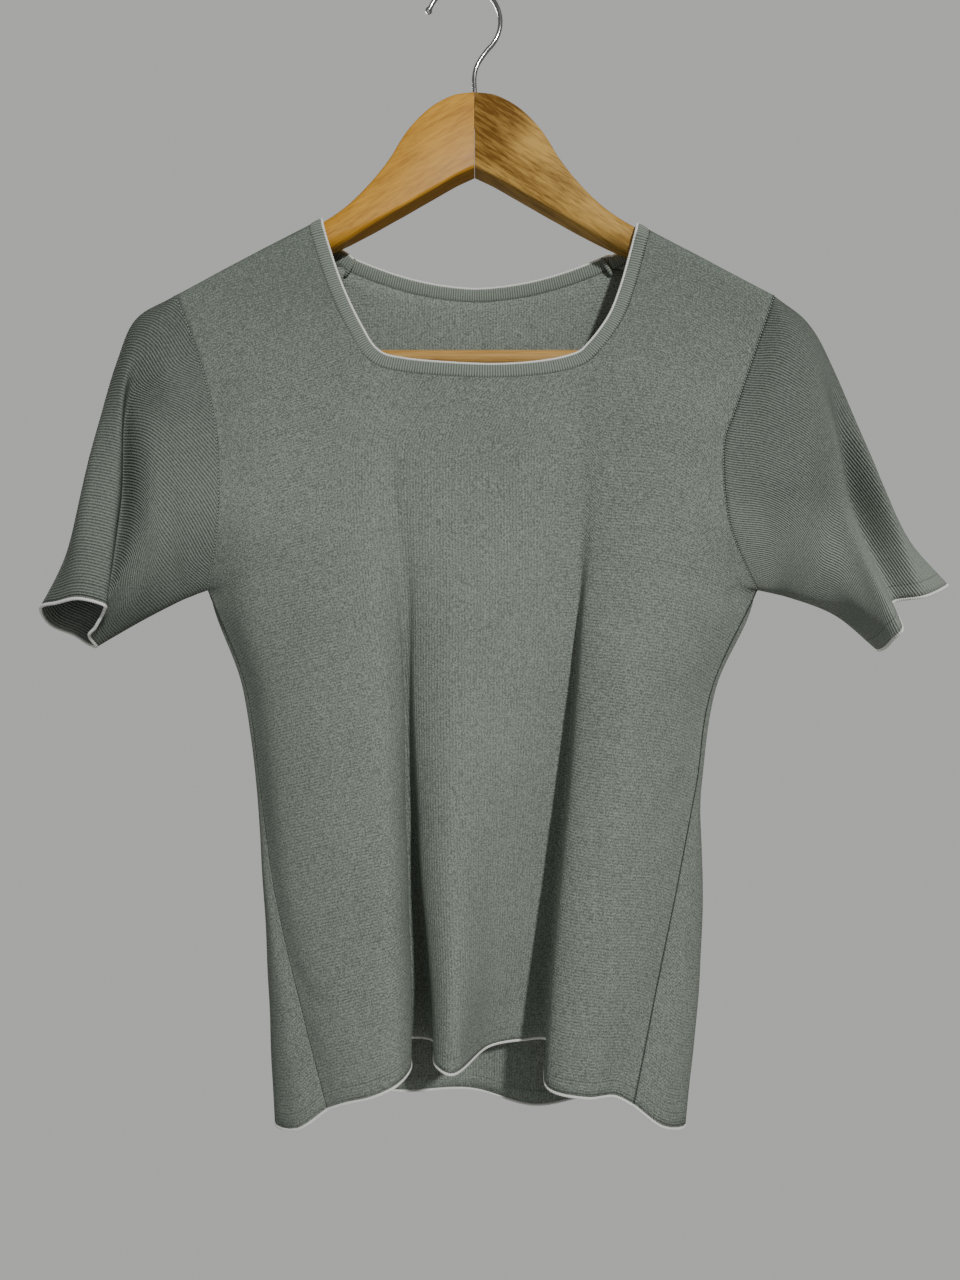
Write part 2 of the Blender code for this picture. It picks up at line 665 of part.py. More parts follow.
def neck_places(sheet, inward):
    """Places along the front's neck edge, or with inward 1 those beside it."""
    last, top = sheet.shape[0] - 1, sheet.shape[1] - 1
    foot_row = CHEST_ROW + len(FRONT_RISE)
    left = [(STRAP_STEPS - inward, row) for row in range(top, foot_row, -1)]
    foot = [(column, foot_row - inward) for column in range(STRAP_STEPS, last - STRAP_STEPS + 1)]
    right = [(last - STRAP_STEPS + inward, row) for row in range(foot_row + 1, top + 1)]
    places = np.array(left + foot + right)
    return places[:, 0], places[:, 1]


def shared_ways(first, second):
    """Make two ways out agree at both of their ends, where their edges meet."""
    for end in (0, -1):
        both = first[end] + second[end]
        both /= np.linalg.norm(both)
        first[end] = both
        second[end] = both


def build_cloth():
    front = front_sheet()
    back = back_sheet(front)
    rings = {"left": armhole(front, back, 0), "right": armhole(front, back, -1)}
    sleeves = {"left": sleeve_sheet(rings["left"], LEFT_SLEEVE),
               "right": sleeve_sheet(rings["right"], RIGHT_SLEEVE)}
    front_out = normals_of(front)
    back_out = -normals_of(back)
    sleeve_out = {"left": normals_of(sleeves["left"], True),
                  "right": -normals_of(sleeves["right"], True)}

    # Panels share their normals along the side, shoulder and armhole seams
    last, top = front.shape[0] - 1, front.shape[1] - 1
    back_top = back.shape[1] - 1
    side = slice(0, SIDE_STEPS + 1)
    left_strap = np.arange(STRAP_STEPS + 1)
    right_strap = np.arange(last - STRAP_STEPS, last + 1)
    for end in (0, -1):
        share_normals((front_out, end, side), (back_out, end, side))
    for strap in (slice(0, STRAP_STEPS + 1), slice(-STRAP_STEPS - 1, None)):
        share_normals((front_out, strap, top), (back_out, strap, back_top))
    rising = slice(0, top - SIDE_STEPS + 1)
    falling = slice(top - SIDE_STEPS + 1, None)
    for name, end in (("left", 0), ("right", -1)):
        turned = sleeve_out[name]
        share_normals((front_out, end, slice(SIDE_STEPS, None)), (turned, rising, 0))
        share_normals((back_out, end, slice(-2, SIDE_STEPS, -1)), (turned, falling, 0))
        back_out[end, SIDE_STEPS] = front_out[end, SIDE_STEPS]
        back_out[end, back_top] = front_out[end, top]

    neck, beside_neck = neck_places(front, 0), neck_places(front, 1)
    front_runs = side_runs(front) + [top_run(front, left_strap), top_run(front, right_strap),
                                     (neck, beside_neck)]
    back_runs = side_runs(back) + [top_run(back, np.arange(back.shape[0]))]
    front_wall = pulled_back(front, front_out, front_runs)
    back_wall = pulled_back(back, back_out, back_runs)
    add_object("front_panel", wall_mesh(front_wall, front_out, WALL), KNIT)
    add_object("back_panel", wall_mesh(back_wall, back_out, WALL), KNIT)
    for name, sheet in sleeves.items():
        turned = sleeve_out[name]
        around = np.arange(sheet.shape[0])
        short = pulled_back(sheet, turned, [(run_of(around, 0), run_of(around, 1))], True)
        add_object("sleeve_" + name, wall_mesh(short, turned, WALL, True), KNIT)
        way = way_out(sheet[:, -1], turned[:, -1], sheet[:, -2], True)
        add_edging("cuff_edging_" + name, sheet[:, -1], turned[:, -1], way, True)

    front_way = way_out(front[:, 0], front_out[:, 0], front[:, 1])
    back_way = way_out(back[:, 0], back_out[:, 0], back[:, 1])
    shared_ways(front_way, back_way)
    add_edging("hem_edging_front", front[:, 0], front_out[:, 0], front_way)
    add_edging("hem_edging_back", back[:, 0], back_out[:, 0], back_way)

    back_neck = slice(STRAP_STEPS, -STRAP_STEPS)
    front_way = way_out(front[neck], front_out[neck], front[beside_neck])
    back_way = way_out(back[back_neck, -1], back_out[back_neck, -1], back[back_neck, -2])
    shared_ways(front_way, back_way)
    add_neck_band("front", front[neck], front_out[neck], front_way)
    add_neck_band("back", back[back_neck, -1], back_out[back_neck, -1], back_way)


def arm_ring(reach, top, bottom, side):
    """Section of an arm across its length: a rectangle with round corners."""
    across = MID + side * reach
    depth = arm_depth(across)
    past = max(reach - (ARM_REACH - TIP_ROUND), 0) / TIP_ROUND
    half = ARM_THICK / 2 * math.sqrt(1 - TIP_NARROW * past * past)
    covered = ease((reach - COVER_START) / (COVER_FULL - COVER_START))
    round_corner = EDGE_ROUND + (ARM_ROUND - EDGE_ROUND) * covered
    round_corner = min(round_corner, (top - bottom) / 2 - 0.5, half - 0.2)
    middle = (top + bottom) / 2
    tall = (top - bottom) / 2
    ring = []
    for corner in range(4):
        sign_y = (1, -1, -1, 1)[corner]
        sign_z = (1, 1, -1, -1)[corner]
        for step in range(4):
            turn = math.radians(90 * corner + 30 * step)
            y = sign_y * (half - round_corner) + round_corner * math.cos(turn)
            z = sign_z * (tall - round_corner) + round_corner * math.sin(turn)
            ring.append((across, depth + y, middle + z))
    return ring


def add_arm(name, side):
    rings = np.array([arm_ring(*station, side) for station in ARM_STATIONS])
    count, around = rings.shape[:2]
    faces = []
    for i in range(count - 1):
        for j in range(around):
            k = (j + 1) % around
            faces.append((i * around + j, (i + 1) * around + j, (i + 1) * around + k,
                          i * around + k))
    faces.append(tuple(range(around)))
    faces.append(tuple(range((count - 1) * around, count * around)))
    return add_object(name, (rings.reshape(-1, 3), faces), WOOD)


def add_round_cutter(name, radius, start, end):
    """A hidden cylinder from start to end that holes are cut with."""
    start, end = np.array(start, float), np.array(end, float)
    length = float(np.linalg.norm(end - start))
    bpy.ops.mesh.primitive_cylinder_add(vertices=20, radius=radius * MM, depth=length * MM)
    cutter = bpy.context.object
    cutter.name = name
    if abs(end[0] - start[0]) > abs(end[2] - start[2]):
        cutter.rotation_euler = (0, math.pi / 2, 0)
    cutter.location = tuple((start + end) / 2 * MM)
    cutter.hide_render = True
    cutter.display_type = "WIRE"
    return cutter


def cut(target, cutter):
    hole = target.modifiers.new(cutter.name, "BOOLEAN")
    hole.operation = "DIFFERENCE"
    hole.solver = "EXACT"
    hole.object = cutter


def build_hanger():
    left = add_arm("hanger_arm_left", -1)
    right = add_arm("hanger_arm_right", 1)
    top = ARM_STATIONS[0][1]
    stem_hole = add_round_cutter("stem_hole", WIRE_RADIUS + GAP,
                                 (MID, 0, top - STEM_DEPTH - GAP), (MID, 0, top + 5))
    cut(left, stem_hole)
    cut(right, stem_hole)

    bar_depth = arm_depth(MID + BAR_REACH - BAR_LET_IN / 2)
    for side, arm in ((-1, left), (1, right)):
        start = (MID + side * (BAR_REACH - 2 * BAR_LET_IN), bar_depth, BAR_HEIGHT)
        end = (MID + side * (BAR_REACH + GAP), bar_depth, BAR_HEIGHT)
        cut(arm, add_round_cutter(arm.name + "_bar_hole", BAR_RADIUS + GAP, start, end))
    bpy.ops.mesh.primitive_cylinder_add(vertices=24, radius=BAR_RADIUS * MM,
                                        depth=2 * BAR_REACH * MM)
    bar = bpy.context.object
    bar.name = "trouser_bar"
    bar.rotation_euler = (0, math.pi / 2, 0)
    bar.location = (MID * MM, bar_depth * MM, BAR_HEIGHT * MM)
    bar.data.shade_smooth()
    bar.data.set_sharp_from_angle(angle=math.radians(60))
    bar.data.materials.append(material(WOOD))
    add_hook()


def hook_path():
    """Centre line of the wire from the tip over the top down to the stem."""
    centre = WIRE_RADIUS - HOOK_RADIUS
    path = []
    for degrees in range(TIP_ANGLE, BEND_ANGLE, -14):
        turn = math.radians(degrees)
        path.append((HOOK_RADIUS * math.cos(turn), centre + HOOK_RADIUS * math.sin(turn)))
    tail = smooth_line([path[-2], path[-1], (MID + 1.6, -52.5), (MID - 0.2, -60), (MID, -70)],
                       [1, 3, 3, 3])
    path += [tuple(point) for point in tail[2:]]
    path.append((MID, ARM_STATIONS[0][1] - STEM_DEPTH))
    return np.array(path)


def add_hook():
    path = hook_path()
    way = np.gradient(path, axis=0)
    way /= np.linalg.norm(way, axis=1, keepdims=True)
    # The ball at the tip is a few sections of its own before the wire begins
    sections = []
    for step in range(1, BALL_STEPS - 1):
        turn = math.pi * step / BALL_STEPS
        centre = path[0] - way[0] * BALL_RADIUS * (1 + math.cos(turn))
        sections.append((centre, way[0], BALL_RADIUS * math.sin(turn)))
    for point, direction in zip(path, way):
        sections.append((point, direction, WIRE_RADIUS))
    sides = 10
    points, faces = [], []
    for centre, direction, radius in sections:
        across = np.array([-direction[1], direction[0]])
        for side in range(sides):
            turn = 2 * math.pi * side / sides
            flat = centre + across * radius * math.cos(turn)
            points.append((flat[0], radius * math.sin(turn), flat[1]))
    for i in range(len(sections) - 1):
        for j in range(sides):
            k = (j + 1) % sides
            faces.append((i * sides + j, i * sides + k, (i + 1) * sides + k,
                          (i + 1) * sides + j))
    faces.append(tuple(range(sides)))
    faces.append(tuple(range((len(sections) - 1) * sides, len(sections) * sides)))
    return add_object("hook", (np.array(points), faces), CHROME)


def main():
    for old in list(bpy.data.objects):
        bpy.data.objects.remove(old, do_unlink=True)
    build_hanger()
    build_cloth()


main()
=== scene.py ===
# %% [markdown]
# # A short-sleeved knit blouse on a wooden hanger
# The real thing is a fine-knit top in sage green with a square-ish scoop neck, a ribbed neck
# band, set-in sleeves and a light overlocked edge on every free hem. It hangs in soft folds
# from a varnished wooden hanger with a wire hook.
#
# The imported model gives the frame: every piece made here sits in the same place as its solid.
# Lengths in the tables are millimetres; objects are in metres.

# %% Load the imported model
import math

import bmesh
import bpy
import numpy as np
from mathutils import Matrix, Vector, noise


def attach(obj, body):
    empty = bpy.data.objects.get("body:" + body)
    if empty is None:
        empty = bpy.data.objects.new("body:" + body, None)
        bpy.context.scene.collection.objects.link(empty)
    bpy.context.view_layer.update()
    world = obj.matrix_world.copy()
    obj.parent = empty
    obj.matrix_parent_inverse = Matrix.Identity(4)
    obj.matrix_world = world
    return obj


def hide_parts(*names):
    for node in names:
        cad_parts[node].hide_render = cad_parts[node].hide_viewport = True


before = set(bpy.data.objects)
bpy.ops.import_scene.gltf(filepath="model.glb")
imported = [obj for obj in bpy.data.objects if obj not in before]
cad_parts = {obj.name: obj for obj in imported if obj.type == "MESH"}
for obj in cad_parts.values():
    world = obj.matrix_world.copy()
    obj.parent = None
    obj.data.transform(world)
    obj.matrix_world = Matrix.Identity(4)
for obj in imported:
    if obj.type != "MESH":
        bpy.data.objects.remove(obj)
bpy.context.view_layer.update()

MM = 0.001

# %% [markdown]
# ## Camera and light
# The photo was taken with a phone held level, about 0.6 m in front of the chest. A focal
# length in pixels and the photo's size give the lens. The light comes from above, in front and
# to the right. A weak one fills in from the lower left, one stands behind for the back, and
# soft light comes from everywhere else, so the folds stay gentle.

# %% Camera
FOCAL_PIXELS = 900.0
PHOTO_HEIGHT = 1280
EYE = (10.8, -605.0, -438.5)


def add_object(name, data):
    """An object for new data, linked to the scene."""
    made = bpy.data.objects.new(name, data)
    bpy.context.collection.objects.link(made)
    return made


camera_data = bpy.data.cameras.new("camera")
camera_data.sensor_width = 36.0
camera_data.lens = camera_data.sensor_width * FOCAL_PIXELS / PHOTO_HEIGHT
camera_data.clip_start = 0.01
camera = add_object("camera", camera_data)
camera.location = [value * MM for value in EYE]
camera.rotation_euler = (math.pi / 2, 0, 0)
bpy.context.scene.camera = camera
print("lens", round(camera_data.lens, 2), "mm")

# %% Lights and world
ROOM_WHITE = (1.0, 0.995, 0.98)
SOFT_LIGHT = 0.115                   # what reaches the cloth from all round
SEEN_GREY = (0.46, 0.458, 0.45)      # what the camera sees behind the blouse
LIT_POINT = (0.01, 0.0, -0.4)        # the chest, which every light faces
# Place and width in metres, and watts
LIGHTS = {
    "key": ((1.15, -2.62, 1.06), 0.16, 75.0),
    "fill": ((-0.75, -1.0, -0.75), 0.9, 1.9),
    "behind": ((-1.0, 1.7, 0.6), 0.8, 34.0),
}

for name, (place, width, watts) in LIGHTS.items():
    light_data = bpy.data.lights.new(name, "AREA")
    light_data.size = width
    light_data.energy = watts
    light = add_object(name, light_data)
    light.location = place
    way = Vector(LIT_POINT) - Vector(place)
    light.rotation_euler = way.to_track_quat("-Z", "Y").to_euler()

world = bpy.data.worlds.new("soft_room")
bpy.context.scene.world = world
world.use_nodes = True
nodes = world.node_tree.nodes
room = nodes["Background"]
backdrop = nodes.new("ShaderNodeBackground")
for shader, colour, strength in ((room, ROOM_WHITE, SOFT_LIGHT), (backdrop, SEEN_GREY, 1.0)):
    shader.inputs["Color"].default_value = (*colour, 1)
    shader.inputs["Strength"].default_value = strength
rays = nodes.new("ShaderNodeLightPath")
either = nodes.new("ShaderNodeMixShader")
for source, socket in ((rays.outputs["Is Camera Ray"], either.inputs[0]),
                       (room.outputs[0], either.inputs[1]),
                       (backdrop.outputs[0], either.inputs[2]),
                       (either.outputs[0], nodes["World Output"].inputs[0])):
    world.node_tree.links.new(source, socket)
print("lights", {name: watts for name, (place, width, watts) in LIGHTS.items()})

# %% [markdown]
# ## Looks
# A look is a material whose colour, roughness and bump come from maths on the piece's own
# coordinates. A small class wraps a socket so that the maths reads as plain Python.

# %% Maths on sockets
def maths_method(operation, swapped=False):
    """An operator of the class below, which adds one Math node."""
    return lambda field, other: field.maths(operation, other, swapped)


class Field:
    """A value that varies over a surface; sums and products add the nodes."""

    __add__ = maths_method("ADD")
    __radd__ = maths_method("ADD", True)
    __sub__ = maths_method("SUBTRACT")
    __rsub__ = maths_method("SUBTRACT", True)
    __mul__ = maths_method("MULTIPLY")
    __rmul__ = maths_method("MULTIPLY", True)

    def __init__(self, look, socket):
        self.look = look
        self.socket = socket

    def maths(self, operation, other=0.0, swapped=False):
        pair = (other, self) if swapped else (self, other)
        return self.look.node("Math", {"operation": operation}, pair)

# %% A look
class Look:
    """A named material with one Principled shader, filled in by the functions below.

    finish gives the shader's values that are the same all over.
    """

    def __init__(self, name, finish):
        self.material = bpy.data.materials.new(name)
        self.material.use_nodes = True
        self.tree = self.material.node_tree
        self.shader = self.tree.nodes["Principled BSDF"]
        for socket, value in finish.items():
            self.shader.inputs[socket].default_value = value

    def node(self, kind, settings=None, values=(), output=0):
        """Add a node; values go to its sockets by place, or by name from a dict."""
        made = self.tree.nodes.new("ShaderNode" + kind)
        for key, value in (settings or {}).items():
            setattr(made, key, value)
        for key, value in values.items() if isinstance(values, dict) else enumerate(values):
            if isinstance(value, Field):
                self.tree.links.new(value.socket, made.inputs[key])
            else:
                made.inputs[key].default_value = value
        return Field(self, made.outputs[output])

    def feed(self, socket, field):
        self.tree.links.new(field.socket, self.shader.inputs[socket])

    def bump(self, height, distance, strength):
        self.feed("Normal", self.node("Bump", {}, {"Height": height, "Distance": distance,
                                                   "Strength": strength}))

    def place(self):
        """The place on the piece, in metres."""
        return self.node("TexCoord", output="Object")

    def mark(self, name):
        """A value written on the piece's own points."""
        return self.node("Attribute", {"attribute_name": name}, output="Fac")

    def mix(self, share, first, second):
        """Colour between two colours, each a field or red, green and blue."""
        first, second = (colour if isinstance(colour, Field) else (*colour, 1)
                         for colour in (first, second))
        return self.node("Mix", {"data_type": "RGBA"}, {0: share, 6: first, 7: second}, 2)

    def ramp(self, share, low, high):
        """0 below low, 1 above high, straight between."""
        return self.node("MapRange", {"clamp": True}, (share, low, high, 0.0, 1.0))

    def noise(self, place, scale, detail=2.0, roughness=0.5):
        return self.node("TexNoise", {}, {"Vector": place, "Scale": scale, "Detail": detail,
                                          "Roughness": roughness})

    def line(self, distance, width):
        """1 on a line, falling to 0 at its half width in mm."""
        gap = distance * (1 / (width * MM))
        return self.node("Math", {"operation": "SUBTRACT", "use_clamp": True}, (1.0, gap * gap))

# %% [markdown]
# ### Knit
# The knit is fine: its wales are about a millimetre apart. From here it reads as a speckled,
# slightly streaky cloth, and only the sleeves show diagonal ribs. The cloth carries a UV map in
# metres, across and along the knit, so the streaks follow the folds.

# %% Knit looks
SAGE_DARK = (0.150, 0.178, 0.148)
SAGE_LIGHT = (0.330, 0.368, 0.318)
LINE_PITCH = 1.9           # mm from one visible line of the knit to the next
HEM_LINE = 9.0             # mm from a free edge to the line where its hem is caught
# Metres: half widths between which courses give way to wales in the middle, and heights
# between which painted shade darkens the shoulders and painted light lightens a sleeve's foot
WALES_INSIDE = (0.085, 0.055)
SHOULDER_PAINTED_SHADE = (-0.36, -0.2)
FOOT_PAINTED_LIGHT = (-0.345, -0.385)


def knit_look(name, depth=1.0, lines="both", strength=0.45, slant=0.0, foot=0.0):
    """Speckled fine knit with wales, courses, or wales in the middle and courses beside.

    depth scales its colours, and below 1 is painted shade; strength is that of the lines,
    slant leans them, and foot is painted light on the lower end.
    """
    light = tuple(value * depth * (1 + 0.1 * strength) for value in SAGE_LIGHT)
    dark = tuple(value * depth * (1 - 0.3 * strength) for value in SAGE_DARK)
    look = Look(name, {"Roughness": 0.9, "Specular IOR Level": 0.15})
    lay = look.node("UVMap", {"uv_map": "cloth"})
    across, along = (look.node("SeparateXYZ", {}, (lay,), axis) for axis in "XY")
    place = look.place()
    high = look.node("SeparateXYZ", {}, (place,), "Z")
    speckle = look.noise(place, 1150, 1.0)
    wobble = look.noise(place, 60, 1.0) * 2.2
    turns = 2 * math.pi / (LINE_PITCH * MM)
    wales = ((across + along * slant) * turns + wobble).maths("SINE")
    courses = ((along + across * slant) * turns + wobble).maths("SINE")
    # Painted shade darkens the outside towards the shoulders; painted light lightens a sleeve's
    # foot
    painted_shading = look.ramp(high, *SHOULDER_PAINTED_SHADE) * (1 - look.mark("inside")) * 0.3 \
        - look.ramp(high, *FOOT_PAINTED_LIGHT) * foot
    knit = wales if lines == "wales" else courses
    if lines == "both":
        middle = look.ramp(across.maths("ABSOLUTE"), *WALES_INSIDE)
        knit = wales * middle + courses * (1 - middle)
        # The sides, where the courses run, are a little darker: partly their own tone, partly
        # painted shade
        painted_shading = painted_shading + (1 - middle) * 0.05
    # The knit's lines are coloured darker between them as well as bumped: painted shade in their
    # grooves
    tone = look.ramp(speckle, 0.4, 0.6) * (0.88 - 0.45 * strength) \
        + (knit * 0.5 + 0.5) * (0.45 * strength) \
        + look.ramp(look.noise(place, 11), 0.3, 0.7) * 0.12
    hem = look.line(along - HEM_LINE * MM, 0.55) * 0.4
    groove = look.line(look.mark("seam").maths("MAXIMUM"), 0.7)
    colour = look.mix(hem, look.mix(tone - painted_shading, dark, light), dark)
    colour = look.mix(groove * 0.7, colour, tuple(value * 0.45 for value in dark))
    look.feed("Base Color", colour)
    look.bump(speckle * 1.3 + knit * strength - hem * 2.0 - groove * 2.0, 0.00025, 0.7)
    return look.material


KNIT = knit_look("sage_knit")
# The sleeves' knit is the body's yarn made darker, 0.86 of its colours: painted shade; the right
# one also has painted light at its foot
SLEEVE_KNIT = {"left": knit_look("sage_knit_left_sleeve_painted_shade", 0.86, "courses", 1.3),
               "right": knit_look("sage_knit_right_sleeve_painted_shade", 0.86, "wales", 1.3, 0.3, 0.4)}
print("looks", [look.name for look in (KNIT, *SLEEVE_KNIT.values())])

# %% Rib and thread looks
def thread_look(name, light, dark):
    """Soft thread with painted shade between its ridges, and fibres as bump."""
    look = Look(name, {"Roughness": 0.8, "Sheen Weight": 0.2, "Specular IOR Level": 0.3})
    fibre = look.noise(look.place(), 900, 3.0, 0.7)
    # Most of the tone is painted shade: the dark colour lies between the ridges, the light on them
    tone = look.ramp(fibre, 0.3, 0.7) * 0.3 + look.ramp(look.mark("ridge"), 0.15, 0.85) * 0.7
    look.feed("Base Color", look.mix(tone, dark, light))
    look.bump(fibre, 0.00015, 0.6)
    return look.material


RIB = thread_look("sage_rib", (0.33, 0.37, 0.315), (0.10, 0.125, 0.10))
EDGE_THREAD = thread_look("ivory_edging", (0.97, 0.97, 0.93), (0.84, 0.85, 0.80))
LINK_THREAD = thread_look("linking_stitch", (0.42, 0.46, 0.40), (0.20, 0.23, 0.20))

# %% [markdown]
# ## The cloth
# A garment hung up is a few flat panels that bend round what holds them. Each panel here is a
# net: folds that run from the hem to the chest, given at a few levels. A smooth curve
# through the net gives a fine grid. Above the chest the cloth follows the hanger's arms and
# turns over them to the shoulder seams, which lie behind. This holds the folds exactly where
# the photo shows them, which a cloth simulation would not.

# %% Sizes of the hanger and the turn of the cloth
MID = 7.2              # the hanger's middle, across from the hook
ARM_REACH = 212.0
ARM_SWEEP = 24.0
# The cloth over an arm: its highest line, and how tightly it turns over the wood
CREST_AT = 107.2       # distance from the middle where the crest height is known
CREST_HEIGHT = -166.2
CREST_SLOPE = 0.59
TURN_RADIUS = 11.2
QUARTER = TURN_RADIUS * math.pi / 2
# Heights of the body's levels above the hem, which has its own height on every fold:
# low, hip, waist, ribs, underarm, bust, chest
HEIGHTS = (-666, -603, -534, -470, -405, -364, -313)
UNDERARM = 5
CHEST = HEIGHTS[-1]

# %% Front folds
# The front's folds from the left side seam to the right one, and the hem's height on each.
# Then the folds' distances across, and their distances away from the viewer, in a row for
# each level: hem, low, hip, waist, ribs, underarm, bust, chest.
FRONT_FOLDS = ("left seam", "left side", "left crest", "left ridge", "left edge", "left slot",
               "inner slot", "flank", "crest", "right flank", "right fall", "right slot",
               "right edge", "right crest", "right side", "right seam")
FRONT_HEM = (-735, -728, -721, -714, -710, -705, -705, -705, -707, -705, -706, -706,
             -718, -721, -725, -732)
FRONT_ACROSS = (
    (-86, -74, -56, -41, -33.5, -37.5, -21.5, -16.5, -7, 17, 40, 56, 53.5, 76, 96, 108),
    (-105, -93, -69, -42, -33.5, -37.5, -22.5, -17.5, -5, 19, 47, 58.5, 56.3, 82, 108, 122),
    (-121, -107, -76, -44, -35.5, -38.5, -27.5, -23.5, -6, 22, 54, 62.5, 61.8, 88, 118, 136),
    (-133, -116, -81, -47, -37.5, -39, -31.5, -27.5, -7, 25, 60, 67.5, 68, 94, 128, 151),
    (-143, -123, -84, -50, -38.5, -38.5, -33.5, -30, -7, 28, 66, 71.5, 73, 100, 137, 163),
    (-169, -139, -89, -56, -44, -39.5, -34.5, -29, -7, 33, 69, 74.5, 78.5, 110, 153, 194),
    (-155, -132, -92, -59, -49, -42, -37, -31, -7, 34, 68, 75, 85, 115, 143, 168),
    (-155, -132, -96, -62, -51, -45, -40, -34, -5, 36, 66, 75, 89, 120, 145, 165),
)
FRONT_DEPTH = (
    (-34, -41, -47, -46, -32, -1, -2, -40, -47, -12, 0, 0, -41, -48, -38, -35),
    (-30, -39, -47, -48, -32, -8, -9, -38, -48, -20, -4, -3, -41, -49, -39, -31),
    (-24, -37, -47, -49, -31, -16, -17, -36, -48, -28, -11.5, -11, -41, -49, -38, -26),
    (-16, -35, -47, -49, -31, -23, -24, -36, -47, -34, -19, -18.5, -41, -49, -37, -19),
    (-12, -33, -46, -48, -34, -28.5, -30, -37, -46, -38, -27, -26.5, -41, -49, -36, -14),
    (-10, -33, -45, -47, -40, -35.5, -36, -39.5, -45, -42, -35, -34.5, -41, -48, -35, -10),
    (-36, -41, -45, -45, -41.5, -38.5, -39, -40.5, -44, -43, -39, -38.5, -42, -46, -42, -37),
    (-37, -41, -42, -42, -40.5, -39.5, -39.7, -40, -42, -42, -40, -39.8, -41.5, -43, -42, -37),
)

# %% Back folds
# The same for the back. Its first and last folds are the side seams of the front, which
# stand further back above the underarm.
BACK_FOLDS = ("left seam", "left face", "left corner", "left turn", "left back", "left trough",
              "middle", "right trough", "right back", "right turn", "right corner", "right face",
              "right seam")
BACK_HEM = (-735, -750, -757, -757, -752, -748, -753, -758, -756, -759, -758, -749, -732)
BACK_ACROSS = (
    (-86, -106, -124.5, -118, -84, -40, 5, 48, 96, 139, 146, 128, 108),
    (-105, -118, -129, -124, -86, -42, 5, 50, 98, 149, 155.5, 141, 122),
    (-121, -128, -132, -127, -88, -44, 6, 53, 102, 151, 158, 149, 136),
    (-133, -136, -137, -130, -90, -45, 6, 56, 104, 149, 156.5, 155.5, 151),
    (-143, -146, -145, -136, -92, -46, 7, 58, 106, 158, 166, 166.5, 163),
    (-169, -168, -163, -150, -94, -46, 7, 60, 110, 176, 188, 193, 194),
    (-164, -159, -152, -142, -94, -44, 8, 60, 110, 158, 168, 176, 180),
    (-163, -157, -150, -140, -92, -42, 8, 58, 108, 156, 166, 174, 179),
)
BACK_DEPTH = (
    (-34, -30, -10, 12, 25, 15, 28, 16, 26, 12, -10, -29, -35),
    (-30, -26, -9, 11, 23, 17, 26, 18, 24, 11, -9, -26, -31),
    (-24, -20, -8, 10, 21, 19, 24, 20, 22, 10, -8, -20, -26),
    (-16, -12, -5, 10, 19, 21, 22, 22, 20, 10, -6, -14, -19),
    (-12, -8, -2, 10, 18, 22, 21, 23, 19, 10, -3, -10, -14),
    (-10, -3, 5, 13, 18, 22, 20, 22, 18, 13, 5, -3, -10),
    (4, 10, 13, 17, 18, 21, 19, 20, 18, 17, 13, 10, 4),
    (9, 12, 14, 16, 17, 19, 18, 18, 17, 16, 14, 12, 9),
)
print("folds", len(FRONT_FOLDS), "in front and", len(BACK_FOLDS), "behind")

# %% Shoulders, armholes and necklines
# The straps turn over the arms to the shoulder seams, which lie behind them.
# Each row: distance behind the crest and distance across, at the neck's edge and then at
# the armhole.
STRAPS = {
    "left": ((-11, -98.7, -11, -183), (0, -99.7, -2, -186), (12, -97.5, 8, -188.5),
             (24, -91.5, 17, -190.5), (36, -82, 26, -192)),
    "right": ((-11, 119.3, -11, 198), (0, 120.5, -2, 200), (12, 118, 8, 202.5),
              (24, 111.5, 17, 204.5), (36, 101, 26, 206)),
}
STRAP_RISE = (2, 2, 1, 1)      # steps from each row to the next
ARMHOLE_BOW = 1.35     # how far the left armhole's line bows; the right one is straight
# Front neckline between the straps: distance across and height. Its foot runs between
# the two corners, given by their places in the list.
NECKLINE = (
    (-98.7, -171), (-93.5, -188), (-87, -207.5), (-79.8, -224.8), (-71.5, -241.5),
    (-62.6, -256.4), (-53.8, -263.4), (-40.7, -267), (-21.8, -269.9), (5.7, -271.8),
    (27.6, -271.8), (49.4, -269.9), (66.9, -266.2), (78.6, -261.2), (85, -255),
    (92, -246.5), (100.7, -232.8), (108.5, -212.7), (115, -190.4), (119.3, -173.7),
)
NECK_CORNERS = (5, 14)
BACK_NECK_MIDDLE = 9.0
BACK_NECK_HEIGHT = -204.8
BACK_NECK_RISE = 18.6
BACK_NECK_HALF = 92.0

# %% How fine the grid is
STEPS_UP = (12, 12, 12, 12, 12, 12, 8)
SIDE_STEPS = sum(STEPS_UP[:UNDERARM])
CHEST_ROW = sum(STEPS_UP)
RISE_STEPS = 4
FRONT_RISE = (0.2, 0.41, 0.62, 0.82, 1.0)
BACK_RISE = (0.36, 0.7, 1.0)
STRAP_STEPS = 24
NECK_SIDE_STEPS = 24
FRONT_NECK_STEPS = (12, 8, 8, 8, 12, 12, 12, 8, 12)
BACK_STRAP_STEPS = (8, 4, 4, 8)
BACK_NECK_STEPS = (16, 16, 16, 16)
STRAP_FOLDS = 1.4      # folds that lie under a strap
SLEEVE_STEPS = (8, 8, 16, 16)
SHOULDERS = (slice(0, STRAP_STEPS + 1), slice(-STRAP_STEPS - 1, None))

